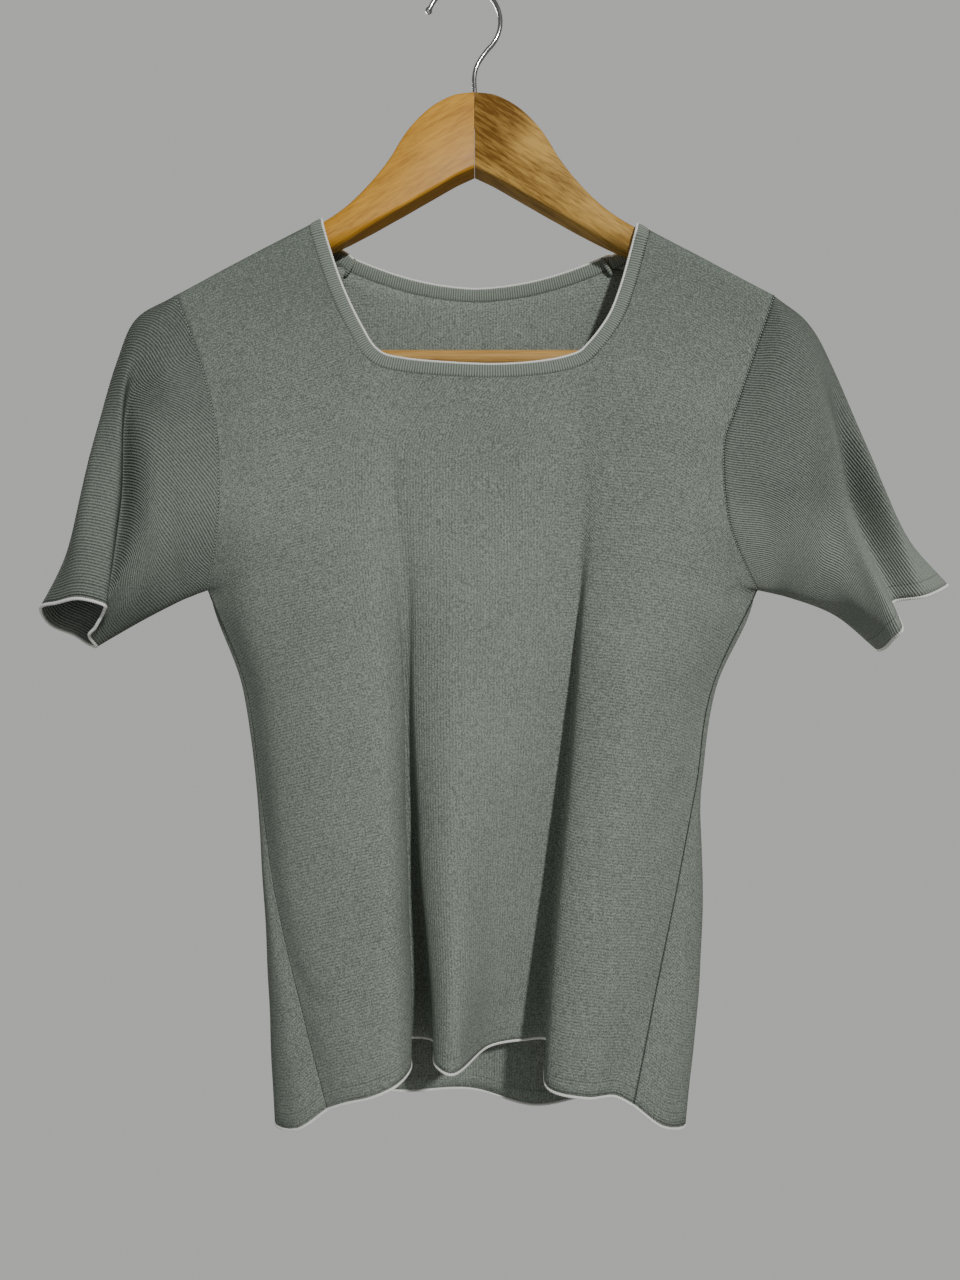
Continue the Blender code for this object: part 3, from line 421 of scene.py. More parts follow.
# %% Smooth lines
def between(before, start, end, after, share):
    """Point on a smooth curve from start to end, a share of the way along."""
    knots = [0.0]
    stops = (before, start, end, after)
    for one, two in zip(stops, stops[1:]):
        knots.append(knots[-1] + max(np.linalg.norm(two - one), 1e-6) ** 0.5)
    at = knots[1] + share * (knots[2] - knots[1])

    def mix(low, high, one, two):
        return ((knots[high] - at) * one + (at - knots[low]) * two) / (knots[high] - knots[low])

    first = mix(0, 1, before, start)
    second = mix(1, 2, start, end)
    third = mix(2, 3, end, after)
    return mix(1, 2, mix(0, 2, first, second), mix(1, 3, second, third))


def smooth_line(points, steps, before=None):
    """Read a smooth line through points, with the given steps between them.

    before is a point that the line would come from, which sets how it starts.
    """
    points = np.asarray(points, float)
    if before is None:
        before = 2 * points[0] - points[1]
    padded = np.vstack([before, points, 2 * points[-1] - points[-2]])
    line = []
    for start, count in enumerate(steps):
        for step in range(count):
            line.append(between(*padded[start:start + 4], step / count))
    line.append(padded[len(steps) + 1])
    return np.array(line)


def run_along(line):
    """Distance along a line at each of its points."""
    return np.concatenate([[0], np.cumsum(np.linalg.norm(np.diff(line, axis=0), axis=1))])


def read_at(at, line, values):
    """Values given along a line, read at new distances along it."""
    run = run_along(line)
    return np.column_stack([np.interp(at, run, column) for column in values.T])


def ease(share):
    """Slow start and slow end."""
    share = min(max(share, 0.0), 1.0)
    return share * share * (3 - 2 * share)

# %% Cloth over the hanger's arms
def arm_depth(across):
    """The arms' middle line: the tips come forward."""
    return -ARM_SWEEP * abs(across - MID) / ARM_REACH


def crest_height(across):
    """Height of the cloth's highest line over an arm."""
    return CREST_HEIGHT - CREST_SLOPE * (abs(across - MID) - CREST_AT)


def girth_at(across, height):
    """Distance along the cloth from the crest down to a height beside the arm."""
    return crest_height(across) - TURN_RADIUS + QUARTER - height


def over_arm(across, girth, side, chest_depth):
    """A point of the cloth hung over an arm, on the front (-1) or back (1) side.

    girth is measured from the crest, down that side; below 0 it is the other side.
    """
    middle = arm_depth(across)
    top = crest_height(across) - TURN_RADIUS
    if abs(girth) <= QUARTER:
        lean = girth / TURN_RADIUS
        return (across, middle + side * TURN_RADIUS * math.sin(lean),
                top + TURN_RADIUS * math.cos(lean))
    height = top + QUARTER - abs(girth)
    if girth < 0:
        return (across, middle - side * TURN_RADIUS, height)
    start = middle + side * TURN_RADIUS
    share = ease((top - height) / (top - CHEST))
    return (across, start + (chest_depth(across) - start) * share, height)

# %% Reading the net
def net_of(across, depth, hem):
    """Places of all folds at all levels, as an array of folds by levels."""
    heights = np.vstack([hem] + [[height] * len(hem) for height in HEIGHTS])
    return np.stack([across, depth, heights], axis=-1).transpose(1, 0, 2)


def fold_columns(net, places):
    """Read every level of the net at the given fold places, whole or between."""
    folds = len(net)
    padded = np.concatenate([[2 * net[0] - net[1]], net, [2 * net[-1] - net[-2]]])
    columns = []
    for place in places:
        fold = min(int(place), folds - 2)
        columns.append([between(*padded[fold:fold + 4, level], place - fold)
                        for level in range(net.shape[1])])
    return np.array(columns)


def split(steps, start=0):
    """Fold places for the given steps between whole folds."""
    return [start + fold + step / count for fold, count in enumerate(steps)
            for step in range(count)]


def climb(column, upper, corner, over):
    """A column from the hem to the top; corner 1 breaks it at the underarm.

    over is the way there to the other side of the armhole, which rounds its foot.
    """
    steps = list(STEPS_UP) + [RISE_STEPS] * len(upper)
    points = np.vstack([column, upper])
    whole = smooth_line(points, steps)
    if corner == 0:
        return whole
    low = smooth_line(points[:UNDERARM + 1], steps[:UNDERARM])
    high = smooth_line(points[UNDERARM:], steps[UNDERARM:], points[UNDERARM] + over)
    broken = np.vstack([low[:-1], high])
    return corner * broken + (1 - corner) * whole


def strap_lines(name):
    """Lines of a strap over the arm, each from the armhole to the neck.

    Each point is the distance across and the distance behind the crest.
    """
    rows = smooth_line(STRAPS[name], STRAP_RISE)
    share = np.linspace(0, 1, STRAP_STEPS + 1)[:, None]
    return [row[[3, 2]] + (row[[1, 0]] - row[[3, 2]]) * share for row in rows]

# %% Body panels
def body_sheet(net, other, places, tops, rise, side, straps=()):
    """The grid of a body panel, columns from the left seam to the right one.

    other is the net of the opposite panel. tops are the ends of the columns:
    across, girth. straps are the left and right lines that go on over the arms;
    between them those rows are left empty (not a number).
    """
    columns = fold_columns(net, places)
    chest_line = columns[np.argsort(columns[:, -1, 0]), -1]

    def chest_depth(across):
        return float(np.interp(across, chest_line[:, 0], chest_line[:, 1]))

    extra = len(straps[0]) - 1 if straps else 0
    sheet = np.full((len(places), CHEST_ROW + RISE_STEPS * (len(rise) + extra) + 1, 3), np.nan)
    last = len(places) - 1
    for index, (place, column, top) in enumerate(zip(places, columns, tops)):
        start = column[-1, 0], girth_at(column[-1, 0], CHEST)
        bow = 1 + (ARMHOLE_BOW - 1) * max(1 - index / STRAP_STEPS, 0)
        route = [(start[0] + (top[0] - start[0]) * share ** bow,
                  start[1] + (top[1] - start[1]) * share) for share in rise]
        for strap, step in zip(straps, (index, last - index)):
            if step <= STRAP_STEPS:
                route += [line[step] for line in strap[1:]]
        upper = [over_arm(across, girth, side, chest_depth) for across, girth in route]
        corner = max(1 - place, 1 - (len(net) - 1 - place), 0)
        end = 0 if place < 1 else -1
        over = other[end, UNDERARM + 1] - net[end, UNDERARM]
        line = climb(column, upper, ease(corner), over)
        sheet[index, :len(line)] = line
    return sheet

# %% Front and back
FRONT_NET = net_of(FRONT_ACROSS, FRONT_DEPTH, FRONT_HEM)
BACK_NET = net_of(BACK_ACROSS, BACK_DEPTH, BACK_HEM)


def neckline():
    """Tops of the columns between the straps: even steps down, along the foot and up."""
    fine = 8
    line = smooth_line(NECKLINE, [fine] * (len(NECKLINE) - 1))
    left, right = (corner * fine for corner in NECK_CORNERS)
    stretches = []
    for part, steps in ((line[:left + 1], NECK_SIDE_STEPS),
                        (line[left:right + 1], sum(FRONT_NECK_STEPS)),
                        (line[right:], NECK_SIDE_STEPS)):
        at = np.linspace(0, run_along(part)[-1], steps + 1)
        stretches.append(read_at(at, part, part))
    down, foot, up = stretches
    return np.vstack([down[1:-1], foot, up[1:-1]])


def front_sheet():
    last = len(FRONT_FOLDS) - 1
    ridge = FRONT_FOLDS.index("left ridge")
    edge = ridge + len(FRONT_NECK_STEPS)
    places = [*np.linspace(0, STRAP_FOLDS, STRAP_STEPS + 1)[:-1],
              *np.linspace(STRAP_FOLDS, ridge, NECK_SIDE_STEPS + 1)[:-1],
              *split(FRONT_NECK_STEPS, ridge),
              *np.linspace(edge, last - STRAP_FOLDS, NECK_SIDE_STEPS + 1)[:-1],
              *np.linspace(last - STRAP_FOLDS, last, STRAP_STEPS + 1)]
    straps = [[line * (1, -1) for line in strap_lines(name)] for name in STRAPS]
    neck = [(x, girth_at(x, height)) for x, height in neckline()]
    tops = [*straps[0][0], *neck, *straps[1][0][::-1]]
    return body_sheet(FRONT_NET, BACK_NET, places, tops, FRONT_RISE, -1, straps)


def back_sheet(front):
    steps = BACK_STRAP_STEPS + BACK_NECK_STEPS + BACK_STRAP_STEPS[::-1]
    left, right = (strap_lines(name)[-1] for name in STRAPS)
    width = right[-1][0] - left[-1][0]
    neck = []
    for step in range(1, sum(BACK_NECK_STEPS)):
        across = left[-1][0] + width * step / sum(BACK_NECK_STEPS)
        rise = BACK_NECK_RISE * ((across - BACK_NECK_MIDDLE) / BACK_NECK_HALF) ** 2
        neck.append((across, girth_at(across, BACK_NECK_HEIGHT + rise)))
    sheet = body_sheet(BACK_NET, FRONT_NET, [*split(steps), len(steps)],
                       [*left, *neck, *right[::-1]], BACK_RISE, 1)
    # The side seams and the shoulder seams are the front's own lines
    for end in (0, -1):
        sheet[end, :SIDE_STEPS + 1] = front[end, :SIDE_STEPS + 1]
    for strap in SHOULDERS:
        sheet[strap, -1] = front[strap, -1]
    return sheet


sheets = {"front": front_sheet()}
sheets["back"] = back_sheet(sheets["front"])
print("grids", {name: sheet.shape[:2] for name, sheet in sheets.items()})

# %% [markdown]
# ## Sleeves
# Each sleeve is a tube set into its armhole. Twelve fold lines run from the armhole seam to
# the cuff; between them the cloth is read as a smooth ring.

# %% Sleeve folds
# Fold lines round each sleeve from the underarm over the front and back again.
# Places at the crown, cap, middle and cuff: across, depth, height
LEFT_SLEEVE = {
    "underarm":    ((-180, -10, -409), (-188, -12, -413), (-213, -12, -426), (-241, -12, -442)),
    "lower front": ((-179, -29, -388), (-185, -34, -386), (-206, -34, -411), (-240, -25, -435)),
    "front":       ((-173, -41, -346), (-186, -42, -349), (-201, -41, -391), (-233, -32, -429)),
    "upper front": ((-178, -41, -303), (-193, -42, -311), (-203, -40, -369), (-227.5, -37, -422.5)),
    "valley":      ((-187, -39, -270), (-211, -32, -283), (-220, -27, -354), (-224, -42, -419)),
    "ridge":       ((-199, -37, -243), (-211, -39, -268), (-215, -46, -351), (-221, -49, -416)),
    "strip":       ((-211, -24, -232), (-223, -24, -259), (-232, -45, -339), (-235, -51, -412)),
    "outer strip": ((-211, -12, -237), (-226, -8, -266), (-247, -28, -358), (-255, -38, -414)),
    "outer edge":  ((-206, -1, -260), (-228, 3, -285), (-254, -5, -368), (-278, -12, -417)),
    "back":        ((-195, 9, -303), (-222, 14, -320), (-253, 13, -381), (-280, 8, -428)),
    "lower back":  ((-184, 13, -358), (-210, 13, -362), (-243, 14, -398), (-268, 14, -434)),
    "behind":      ((-181, 6, -395), (-197, 3, -397), (-228, 4, -415), (-254, 4, -440)),
}
RIGHT_SLEEVE = {
    "underarm":    ((204, -10, -407), (215, -12, -410), (245, -12, -422), (272, -12, -444)),
    "lower front": ((200, -29, -386), (214, -35, -386), (242, -33, -407), (271, -27, -442)),
    "front":       ((190, -41, -347), (216, -45, -350), (243, -42, -389), (271, -37, -437)),
    "upper front": ((190, -43, -309), (219, -48, -315), (242.5, -46, -373), (274, -42, -432)),
    "ridge":       ((196, -42, -277), (222, -46, -289), (244, -43, -360), (278, -31, -425)),
    "valley":      ((209, -38, -244), (228, -37, -270), (261, -2, -354), (286, -5, -412)),
    "strip":       ((221, -24, -234), (239, -23, -264), (281, -16, -357), (302, -14, -409)),
    "outer edge":  ((219, -12, -241), (241, -8, -272), (290, 4, -360), (323, -2, -401)),
    "outer back":  ((214, 0, -265), (241, 6, -290), (283, 18, -364), (318, 16, -403)),
    "back":        ((209, 9, -305), (236, 12, -320), (271, 21, -378), (306, 24, -406)),
    "lower back":  ((207, 13, -360), (230, 14, -362), (260, 17, -394), (294, 24, -415)),
    "behind":      ((205, 6, -393), (219, 4, -395), (251, 5, -412), (283, 12, -431)),
}

# %% Sleeve grids
ARMHOLES = {"left": 0, "right": -1}      # the end of the body's grids that has it


def sleeve_sheet(end, table):
    """Grid of a sleeve: round the armhole by along to the cuff.

    The armhole seam runs from the underarm up the front and down the back.
    """
    ring = np.vstack([sheets["front"][end, SIDE_STEPS:],
                      sheets["back"][end, SIDE_STEPS + 1:-1][::-1]])
    folds = len(table)
    stations = np.array(list(table.values()), float)
    sheet = []
    for index, start in enumerate(ring):
        turn = folds * index / len(ring)
        fold = int(turn)
        picks = [(fold + step) % folds for step in (-1, 0, 1, 2)]
        along = [between(*stations[picks, station], turn - fold)
                 for station in range(stations.shape[1])]
        sheet.append(smooth_line([start, *along], SLEEVE_STEPS))
    return np.array(sheet)


for name, table in (("left", LEFT_SLEEVE), ("right", RIGHT_SLEEVE)):
    sheets[name] = sleeve_sheet(ARMHOLES[name], table)
    print(name, "sleeve grid", sheets[name].shape[:2])

# %% [markdown]
# ## Normals, seams and small creases
# Panels that meet along a seam share their normals there, so their walls meet too. Small
# creases, faded out towards the seams, and an uneven swell are pushed along the normals.

# %% Faces and normals of a grid
def quads_of(sheet, ring=False):
    """Faces of a grid as index fours, where all four points are there."""
    across, up = sheet.shape[:2]
    there = ~np.isnan(sheet[:, :, 0])
    quads = []
    for i in range(across if ring else across - 1):
        k = (i + 1) % across
        for j in range(up - 1):
            if there[i, j + 1] and there[k, j + 1]:
                quads.append((i * up + j, k * up + j, k * up + j + 1, i * up + j + 1))
    return quads


def normals_of(sheet, ring=False):
    """Unit normals of a grid, from the faces round each point."""
    points = sheet.reshape(-1, 3)
    total = np.zeros_like(points)
    for quad in quads_of(sheet, ring):
        a, b, c, d = points[list(quad)]
        total[list(quad)] += np.cross(c - a, d - b)
    length = np.linalg.norm(total, axis=1, keepdims=True)
    return (total / np.maximum(length, 1e-9)).reshape(sheet.shape)

# %% Edges that meet
def share_normals(*edges):
    """Give sheets that meet along a seam the same normal at each shared point.

    Each edge is (normals, columns, rows) picking the same run of points.
    """
    total = sum(normals[columns, rows] for normals, columns, rows in edges)
    total = total / np.linalg.norm(total, axis=-1, keepdims=True)
    for normals, columns, rows in edges:
        normals[columns, rows] = total


def way_out(edge, normals, inner, ring=False):
    """Unit way from an edge away from its sheet, square to the edge."""
    if ring:
        along = np.roll(edge, -1, axis=0) - np.roll(edge, 1, axis=0)
    else:
        along = np.gradient(edge, axis=0)
    way = np.cross(along, normals)
    way /= np.linalg.norm(way, axis=1, keepdims=True)
    flip = np.sign(np.sum(way * (edge - inner), axis=1, keepdims=True))
    return way * flip


def neck_places(sheet, inward):
    """Places along the front's neck edge, or with inward 1 those beside it."""
    last, top = sheet.shape[0] - 1, sheet.shape[1] - 1
    foot_row = CHEST_ROW + RISE_STEPS * len(FRONT_RISE)
    left = [(STRAP_STEPS - inward, row) for row in range(top, foot_row, -1)]
    foot = [(column, foot_row - inward) for column in range(STRAP_STEPS, last - STRAP_STEPS + 1)]
    right = [(last - STRAP_STEPS + inward, row) for row in range(foot_row + 1, top + 1)]
    places = np.array(left + foot + right)
    return places[:, 0], places[:, 1]


def shared_ways(first, second):
    """Make two ways out agree at both of their ends, where their edges meet."""
    for end in (0, -1):
        share_normals((first, end, slice(None)), (second, end, slice(None)))

# %% Creases
# Soft creases: start and end (across, height), half width, depth inwards
FRONT_CREASES = {
    "right waist dimple": ((128, -470), (156, -500), 9, 1.6),
    "right hip drag": ((120, -560), (147, -520), 8, 1.0),
    "right roll dimple": ((84, -690), (98, -712), 7, 1.8),
    "left roll dimple": ((-112, -650), (-90, -668), 8, 1.2),
    "left armhole pull": ((-164, -352), (-140, -330), 10, 1.2),
    "right armhole pull": ((170, -360), (142, -330), 10, 1.4),
    "left underarm pull": ((-160, -410), (-118, -392), 8, 1.2),
    "right underarm pull": ((176, -412), (128, -396), 8, 1.2),
    "panel drag one": ((0, -668), (26, -682), 5, 0.8),
    "panel drag two": ((4, -684), (24, -694), 4, 0.7),
    "left crest swell": ((-92, -420), (-82, -560), 16, -1.2),
    "right crest swell": ((112, -420), (96, -560), 16, -1.2),
}
BACK_CREASES = {
    "left blade drag": ((-140, -300), (-60, -380), 12, 1.8),
    "right blade drag": ((150, -300), (80, -370), 12, 1.6),
    "left underarm drag": ((-150, -410), (-90, -440), 10, 1.6),
    "right underarm drag": ((160, -410), (98, -446), 10, 1.6),
    "small of the back": ((-60, -560), (64, -548), 12, 1.2),
    "hip pull": ((100, -640), (30, -672), 12, 1.2),
    "neck pull": ((-30, -232), (40, -236), 9, 1.0),
}
SWELL = 0.5            # mm of uneven swell
SWELL_SIZE = 38.0
FADE_ROWS = 10         # rows over which a crease fades out towards an edge
OUTWARD = {"front": 1, "back": -1, "left": 1, "right": -1}     # which side of a grid shows

# %% Pushing the creases in
def creased(sheet, normals, creases):
    """Push a grid along its normals by its creases and a little uneven swell."""
    across, up = sheet.shape[:2]
    columns = np.minimum(np.arange(across), np.arange(across)[::-1])[:, None]
    rows = np.minimum(np.arange(up), np.arange(up)[::-1])[None, :]
    fade = np.clip(np.minimum(columns, rows) / FADE_ROWS, 0, 1)
    push = np.zeros((across, up))
    flat = sheet[:, :, (0, 2)]
    for start, end, half, depth in creases.values():
        run = np.subtract(end, start)
        share = np.clip(((flat - start) @ run) / (run @ run), 0, 1)
        gap = np.linalg.norm(flat - start - share[..., None] * run, axis=-1)
        push -= depth * np.exp(-(gap / half) ** 2) * fade
    for at in np.ndindex(across, up):
        if not math.isnan(sheet[at][0]):
            push[at] += SWELL * noise.noise(Vector(sheet[at] / SWELL_SIZE))
    return sheet + normals * push[..., None]


def all_normals():
    """Normals of the four panels, outwards, the same on both sides of each seam."""
    found = {name: OUTWARD[name] * normals_of(sheet, name in ARMHOLES)
             for name, sheet in sheets.items()}
    front, back = found["front"], found["back"]
    top, back_top = front.shape[1] - 1, back.shape[1] - 1
    low = slice(0, SIDE_STEPS + 1)
    crown = top - SIDE_STEPS + 1
    for end in (0, -1):
        share_normals((front, end, low), (back, end, low))
    for strap in SHOULDERS:
        share_normals((front, strap, top), (back, strap, back_top))
    for name, end in ARMHOLES.items():
        sleeve = found[name]
        share_normals((front, end, slice(SIDE_STEPS, None)), (sleeve, slice(0, crown), 0))
        share_normals((back, end, slice(-2, SIDE_STEPS, -1)), (sleeve, slice(crown, None), 0))
        back[end, SIDE_STEPS] = front[end, SIDE_STEPS]
        back[end, back_top] = front[end, top]
    return found


normals = all_normals()
for name, creases in (("front", FRONT_CREASES), ("back", BACK_CREASES), ("left", {}),
                      ("right", {})):
    sheets[name] = creased(sheets[name], normals[name], creases)
normals = all_normals()
front, back = sheets["front"], sheets["back"]
print("front is", round(float(np.nanmax(front[:, :, 0]) - np.nanmin(front[:, :, 0]))), "mm wide")

# %% [markdown]
# ## From a grid to a thin shell
# The wall is two copies of the grid, half of the cloth's thickness either side, joined round
# the free edges. A UV map in metres is measured along the cloth itself.

# %% Measuring the cloth
def lay_of(sheet, ring=False):
    """UV in metres: across from the middle column, along from the hem or cuff."""
    steps = np.nan_to_num(np.linalg.norm(np.diff(sheet, axis=0), axis=2))
    across = np.vstack([np.zeros(sheet.shape[1]), np.cumsum(steps, axis=0)])
    across = across - across[sheet.shape[0] // 2]
    rises = np.nan_to_num(np.linalg.norm(np.diff(sheet, axis=1), axis=2))
    along = np.hstack([np.zeros((sheet.shape[0], 1)), np.cumsum(rises, axis=1)])
    if ring:
        along = along[:, -1:] - along
    return np.stack([across, along], axis=-1) * MM


def seam_distance(sheet, seams):
    """Distance in metres from a grid's points to the nearest seam, more beside a faint one."""
    found = np.full(sheet.shape[:2], 1000.0)
    for seam, faint in seams:
        line = seam[~np.isnan(seam[:, 0])]
        for column, points in enumerate(sheet):
            gaps = np.linalg.norm(points[:, None] - line[None], axis=2).min(axis=1) + faint
            found[column] = np.fmin(found[column], gaps)
    return np.nan_to_num(found) * MM

# %% Shells
CLOTH = 1.1              # thickness of the knit


def add_mesh(name, points, faces, look, **marks):
    """A smooth object from points in millimetres and faces.

    marks are numbers written on its points, for its look to read.
    """
    mesh = bpy.data.meshes.new(name)
    mesh.from_pydata((np.asarray(points) * MM).tolist(), [], faces)
    mesh.shade_smooth()
    mesh.materials.append(look)
    for label, values in marks.items():
        mark = mesh.attributes.new(label, "FLOAT", "POINT")
        mark.data.foreach_set("value", [float(value) for value in values])
    return add_object(name, mesh)


def add_shell(name, sheet, normals, look, seams, ring, outward):
    """A closed thin wall round a grid, with its UV map and its distance to the seams."""
    quads = [quad[::outward] for quad in quads_of(sheet, ring)]
    size = sheet.shape[0] * sheet.shape[1]
    walls = np.concatenate([(sheet + normals * side * CLOTH / 2).reshape(-1, 3)
                            for side in (1, -1)])
    sides = {}
    for quad in quads:
        for one, two in zip(quad, quad[1:] + quad[:1]):
            key = frozenset((one, two))
            sides[key] = None if key in sides else (one, two)
    faces = quads + [tuple(size + corner for corner in quad[::-1]) for quad in quads]
    faces += [(two, one, size + one, size + two) for one, two in filter(None, sides.values())]
    used = sorted({corner for face in faces for corner in face})
    place = {corner: index for index, corner in enumerate(used)}
    used = np.array(used)
    made = add_mesh(name, walls[used], [tuple(place[corner] for corner in face) for face in faces],
                    look, seam=seam_distance(sheet, seams).reshape(-1)[used % size],
                    inside=used >= size)
    lay = lay_of(sheet, ring)
    last, rows = sheet.shape[0] - 1, sheet.shape[1]
    girth = lay[-1, :, 0] + np.linalg.norm(sheet[-1] - sheet[0], axis=1) * MM
    flat = []
    for face in faces:
        columns = [corner % size // rows for corner in face]
        wraps = ring and last in columns and 0 in columns
        for corner, column in zip(face, columns):
            row = corner % size % rows
            u, v = lay[column, row]
            flat += (girth[row] if wraps and column == 0 else u, v)
    made.data.uv_layers.new(name="cloth").data.foreach_set("uv", flat)
    made["area"] = float(sum(face.area for face in made.data.polygons) / 2)
    return made


def settle(piece, slot, *nodes):
    """Ride on the body and stand for the CAD nodes, which are hidden; slot is not used."""
    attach(piece, "root")
    if nodes:
        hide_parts(*nodes)
    return piece

# %% Panels and sleeves
# How far a seam's line is from showing fully, in mm; less than 0 makes it broad
FAINT, PLAIN, BROAD = 0.35, 0.0, -1.1
neck = neck_places(front, 0)
# Node, look and seams of each sheet
PANELS = {
    "front": ("front_panel", KNIT, ((front[0], FAINT), (front[-1], PLAIN), (front[neck], BROAD),
                                    (front[:, -1], FAINT))),
    "back": ("back_panel", KNIT, ((back[0], FAINT), (back[-1], PLAIN), (back[:, -1], FAINT),
                                  (back[STRAP_STEPS:-STRAP_STEPS, -1], BROAD))),
    "left": ("sleeve_left", SLEEVE_KNIT["left"],
             ((sheets["left"][:, 0], FAINT), (sheets["left"][0], FAINT))),
    "right": ("sleeve_right", SLEEVE_KNIT["right"],
              ((sheets["right"][:, 0], PLAIN), (sheets["right"][0], FAINT))),
}

for name, (node, look, seams) in PANELS.items():
    shell = add_shell(node + "_knit", sheets[name], normals[name], look, seams,
                      name in ARMHOLES, OUTWARD[name])
    settle(shell, "knit", node)
    print(name, len(shell.data.polygons), "faces,", round(shell["area"], 4), "m2")

# %% [markdown]
# ## Neck band
# The band is knitted in ribs that run out from the seam to the free edge, and ends in a light
# tipped edge. It is a strip past the neck edge, thick and thin in turn, so the ribs are real
# and not a pattern.

# %% Walking along an edge
def walk(edge, *others, step):
    """Even points along an edge, with other values at the same places."""
    run = run_along(edge)[-1]
    at = np.linspace(0, run, max(int(run / step), 8) + 1)
    return at, [read_at(at, edge, values) for values in (edge, *others)]


def unit(vectors):
    return vectors / np.linalg.norm(vectors, axis=-1, keepdims=True)


def turns(sides):
    """Angles of even sides round a section."""
    return [2 * math.pi * side / sides for side in range(sides)]

# %% Free edges and tubes
def free_edge(name, at, beside, ring=False):
    """An edge of a sheet: its points, their normals and the way out past it.

    at picks its points from the grid, and beside the points next to them.
    """
    edge, turned = sheets[name][at], normals[name][at]
    return edge, turned, way_out(edge, turned, sheets[name][beside], ring)


def tube_faces(count, around, closed=False):
    """Faces through closed sections, one after another, capped at their ends."""
    faces = []
    for i in range(count if closed else count - 1):
        after = (i + 1) % count
        for j in range(around):
            k = (j + 1) % around
            faces.append((i * around + j, i * around + k, after * around + k,
                          after * around + j))
    if not closed:
        faces.append(tuple(range(around))[::-1])
        faces.append(tuple(range((count - 1) * around, count * around)))
    return faces


def add_tube(name, rings, look, ridge, closed=False):
    """A mesh through closed sections, with how far each stands out."""
    made = add_mesh(name, rings.reshape(-1, 3), tube_faces(*rings.shape[:2], closed), look,
                    ridge=np.repeat(ridge, rings.shape[1]))
    shaped = bmesh.new()
    shaped.from_mesh(made.data)
    bmesh.ops.recalc_face_normals(shaped, faces=shaped.faces)
    shaped.to_mesh(made.data)
    shaped.free()
    return made

# %% Ribbed band and tipped edge
BAND_WIDTH = 6.8
RIB_PITCH = 1.65
RIB_HEIGHT = 0.36
# Distance past the seam, and half the thickness there between the ribs
BAND_SECTION = ((-1.15, 0.1), (-1.0, 0.34), (0.3, 0.5), (1.3, 0.75), (2.8, 0.8), (4.4, 0.8),
                (5.8, 0.75), (6.5, 0.6), (BAND_WIDTH, 0.45))
TIPPING_START = BAND_WIDTH - 0.1
TIPPING_WIDTH = 1.6
TIPPING_THICK = 1.7
THREAD_SIDES = 10
RIB_POINTS, STITCH_POINTS = 5, 4      # points along one rib and along one stitch
THREAD_RIDGE = 0.16        # share by which an edge swells at each stitch


def add_band(name, edge, turned, way):
    """A ribbed strip past the neck edge; its ribs start as teeth on the panel."""
    at, (line, turned, way) = walk(edge, turned, way, step=RIB_PITCH / RIB_POINTS)
    turned, way = unit(turned), unit(way)
    ribs = 0.5 + 0.5 * np.cos(2 * np.pi * at / RIB_PITCH)
    outer, inner = [], []
    for row, half in BAND_SECTION:
        lift = turned * (half + RIB_HEIGHT * ribs)[:, None]
        outer.append(line + way * row + lift)
        inner.append(line + way * row - lift)
    return add_tube(name, np.stack(outer + inner[::-1], axis=1), RIB, ribs)


def add_stitched_edge(name, edge, turned, way, start, width, thick, pitch, closed=False):
    """A rolled edge wrapped in thread: a flat tube with a ridge for every stitch."""
    if closed:
        edge, turned, way = (np.vstack([values, values[:1]]) for values in (edge, turned, way))
    at, (line, turned, way) = walk(edge, turned, way, step=pitch / STITCH_POINTS)
    if closed:
        at, line, turned, way = at[:-1], line[:-1], turned[:-1], way[:-1]
    turned, way = unit(turned), unit(way)
    beat = np.cos(2 * np.pi * at / pitch)
    ridge = 1 + THREAD_RIDGE * beat
    rings = []
    for turn in turns(THREAD_SIDES):
        out = start + width / 2 + width / 2 * math.cos(turn) * ridge
        up = thick / 2 * math.sin(turn) * ridge
        rings.append(line + way * out[:, None] + turned * up[:, None])
    return add_tube(name, np.stack(rings, axis=1), EDGE_THREAD, 0.5 + 0.5 * beat, closed)


neck_edges = {
    "front": free_edge("front", neck, neck_places(front, 1)),
    "back": free_edge("back", np.s_[STRAP_STEPS:-STRAP_STEPS, -1],
                      np.s_[STRAP_STEPS:-STRAP_STEPS, -2]),
}
shared_ways(neck_edges["front"][2], neck_edges["back"][2])
for name, edge in neck_edges.items():
    band = settle(add_band("neck_band_" + name + "_rib", *edge), "rib", "neck_band_" + name)
    settle(add_stitched_edge("neck_tipping_" + name + "_edge", *edge, TIPPING_START,
                             TIPPING_WIDTH, TIPPING_THICK, RIB_PITCH),
           "light_trim", "neck_tipping_" + name)
    print(name, "band", round(run_along(edge[0])[-1]), "mm long,", len(band.data.polygons), "faces")

# %% [markdown]
# ## Shoulder seam ends
# Inside the neck the ends of both shoulder seams show below the band as short overlocked
# rolls. Each is a tube that swells with its stitches and thins out at both ends.

# %% Ends of the shoulder seams inside the neck
SEAM_END_RADIUS = 1.6
SEAM_END_BEATS = 8
SEAM_END_BULGE = 1.2
SEAM_END_WIDE = 1.25           # how much wider than high it is
SEAM_END_THREAD = (0.72, 0.2)  # share of its radius between stitches, and what each adds
# Its top's place past the band's edge and behind the cloth, and its foot's below the seam,
# behind the cloth and to the side
SEAM_END_TOP = (0.6, 1.8)
SEAM_END_FOOT = (5.0, 2.2, 2.5)


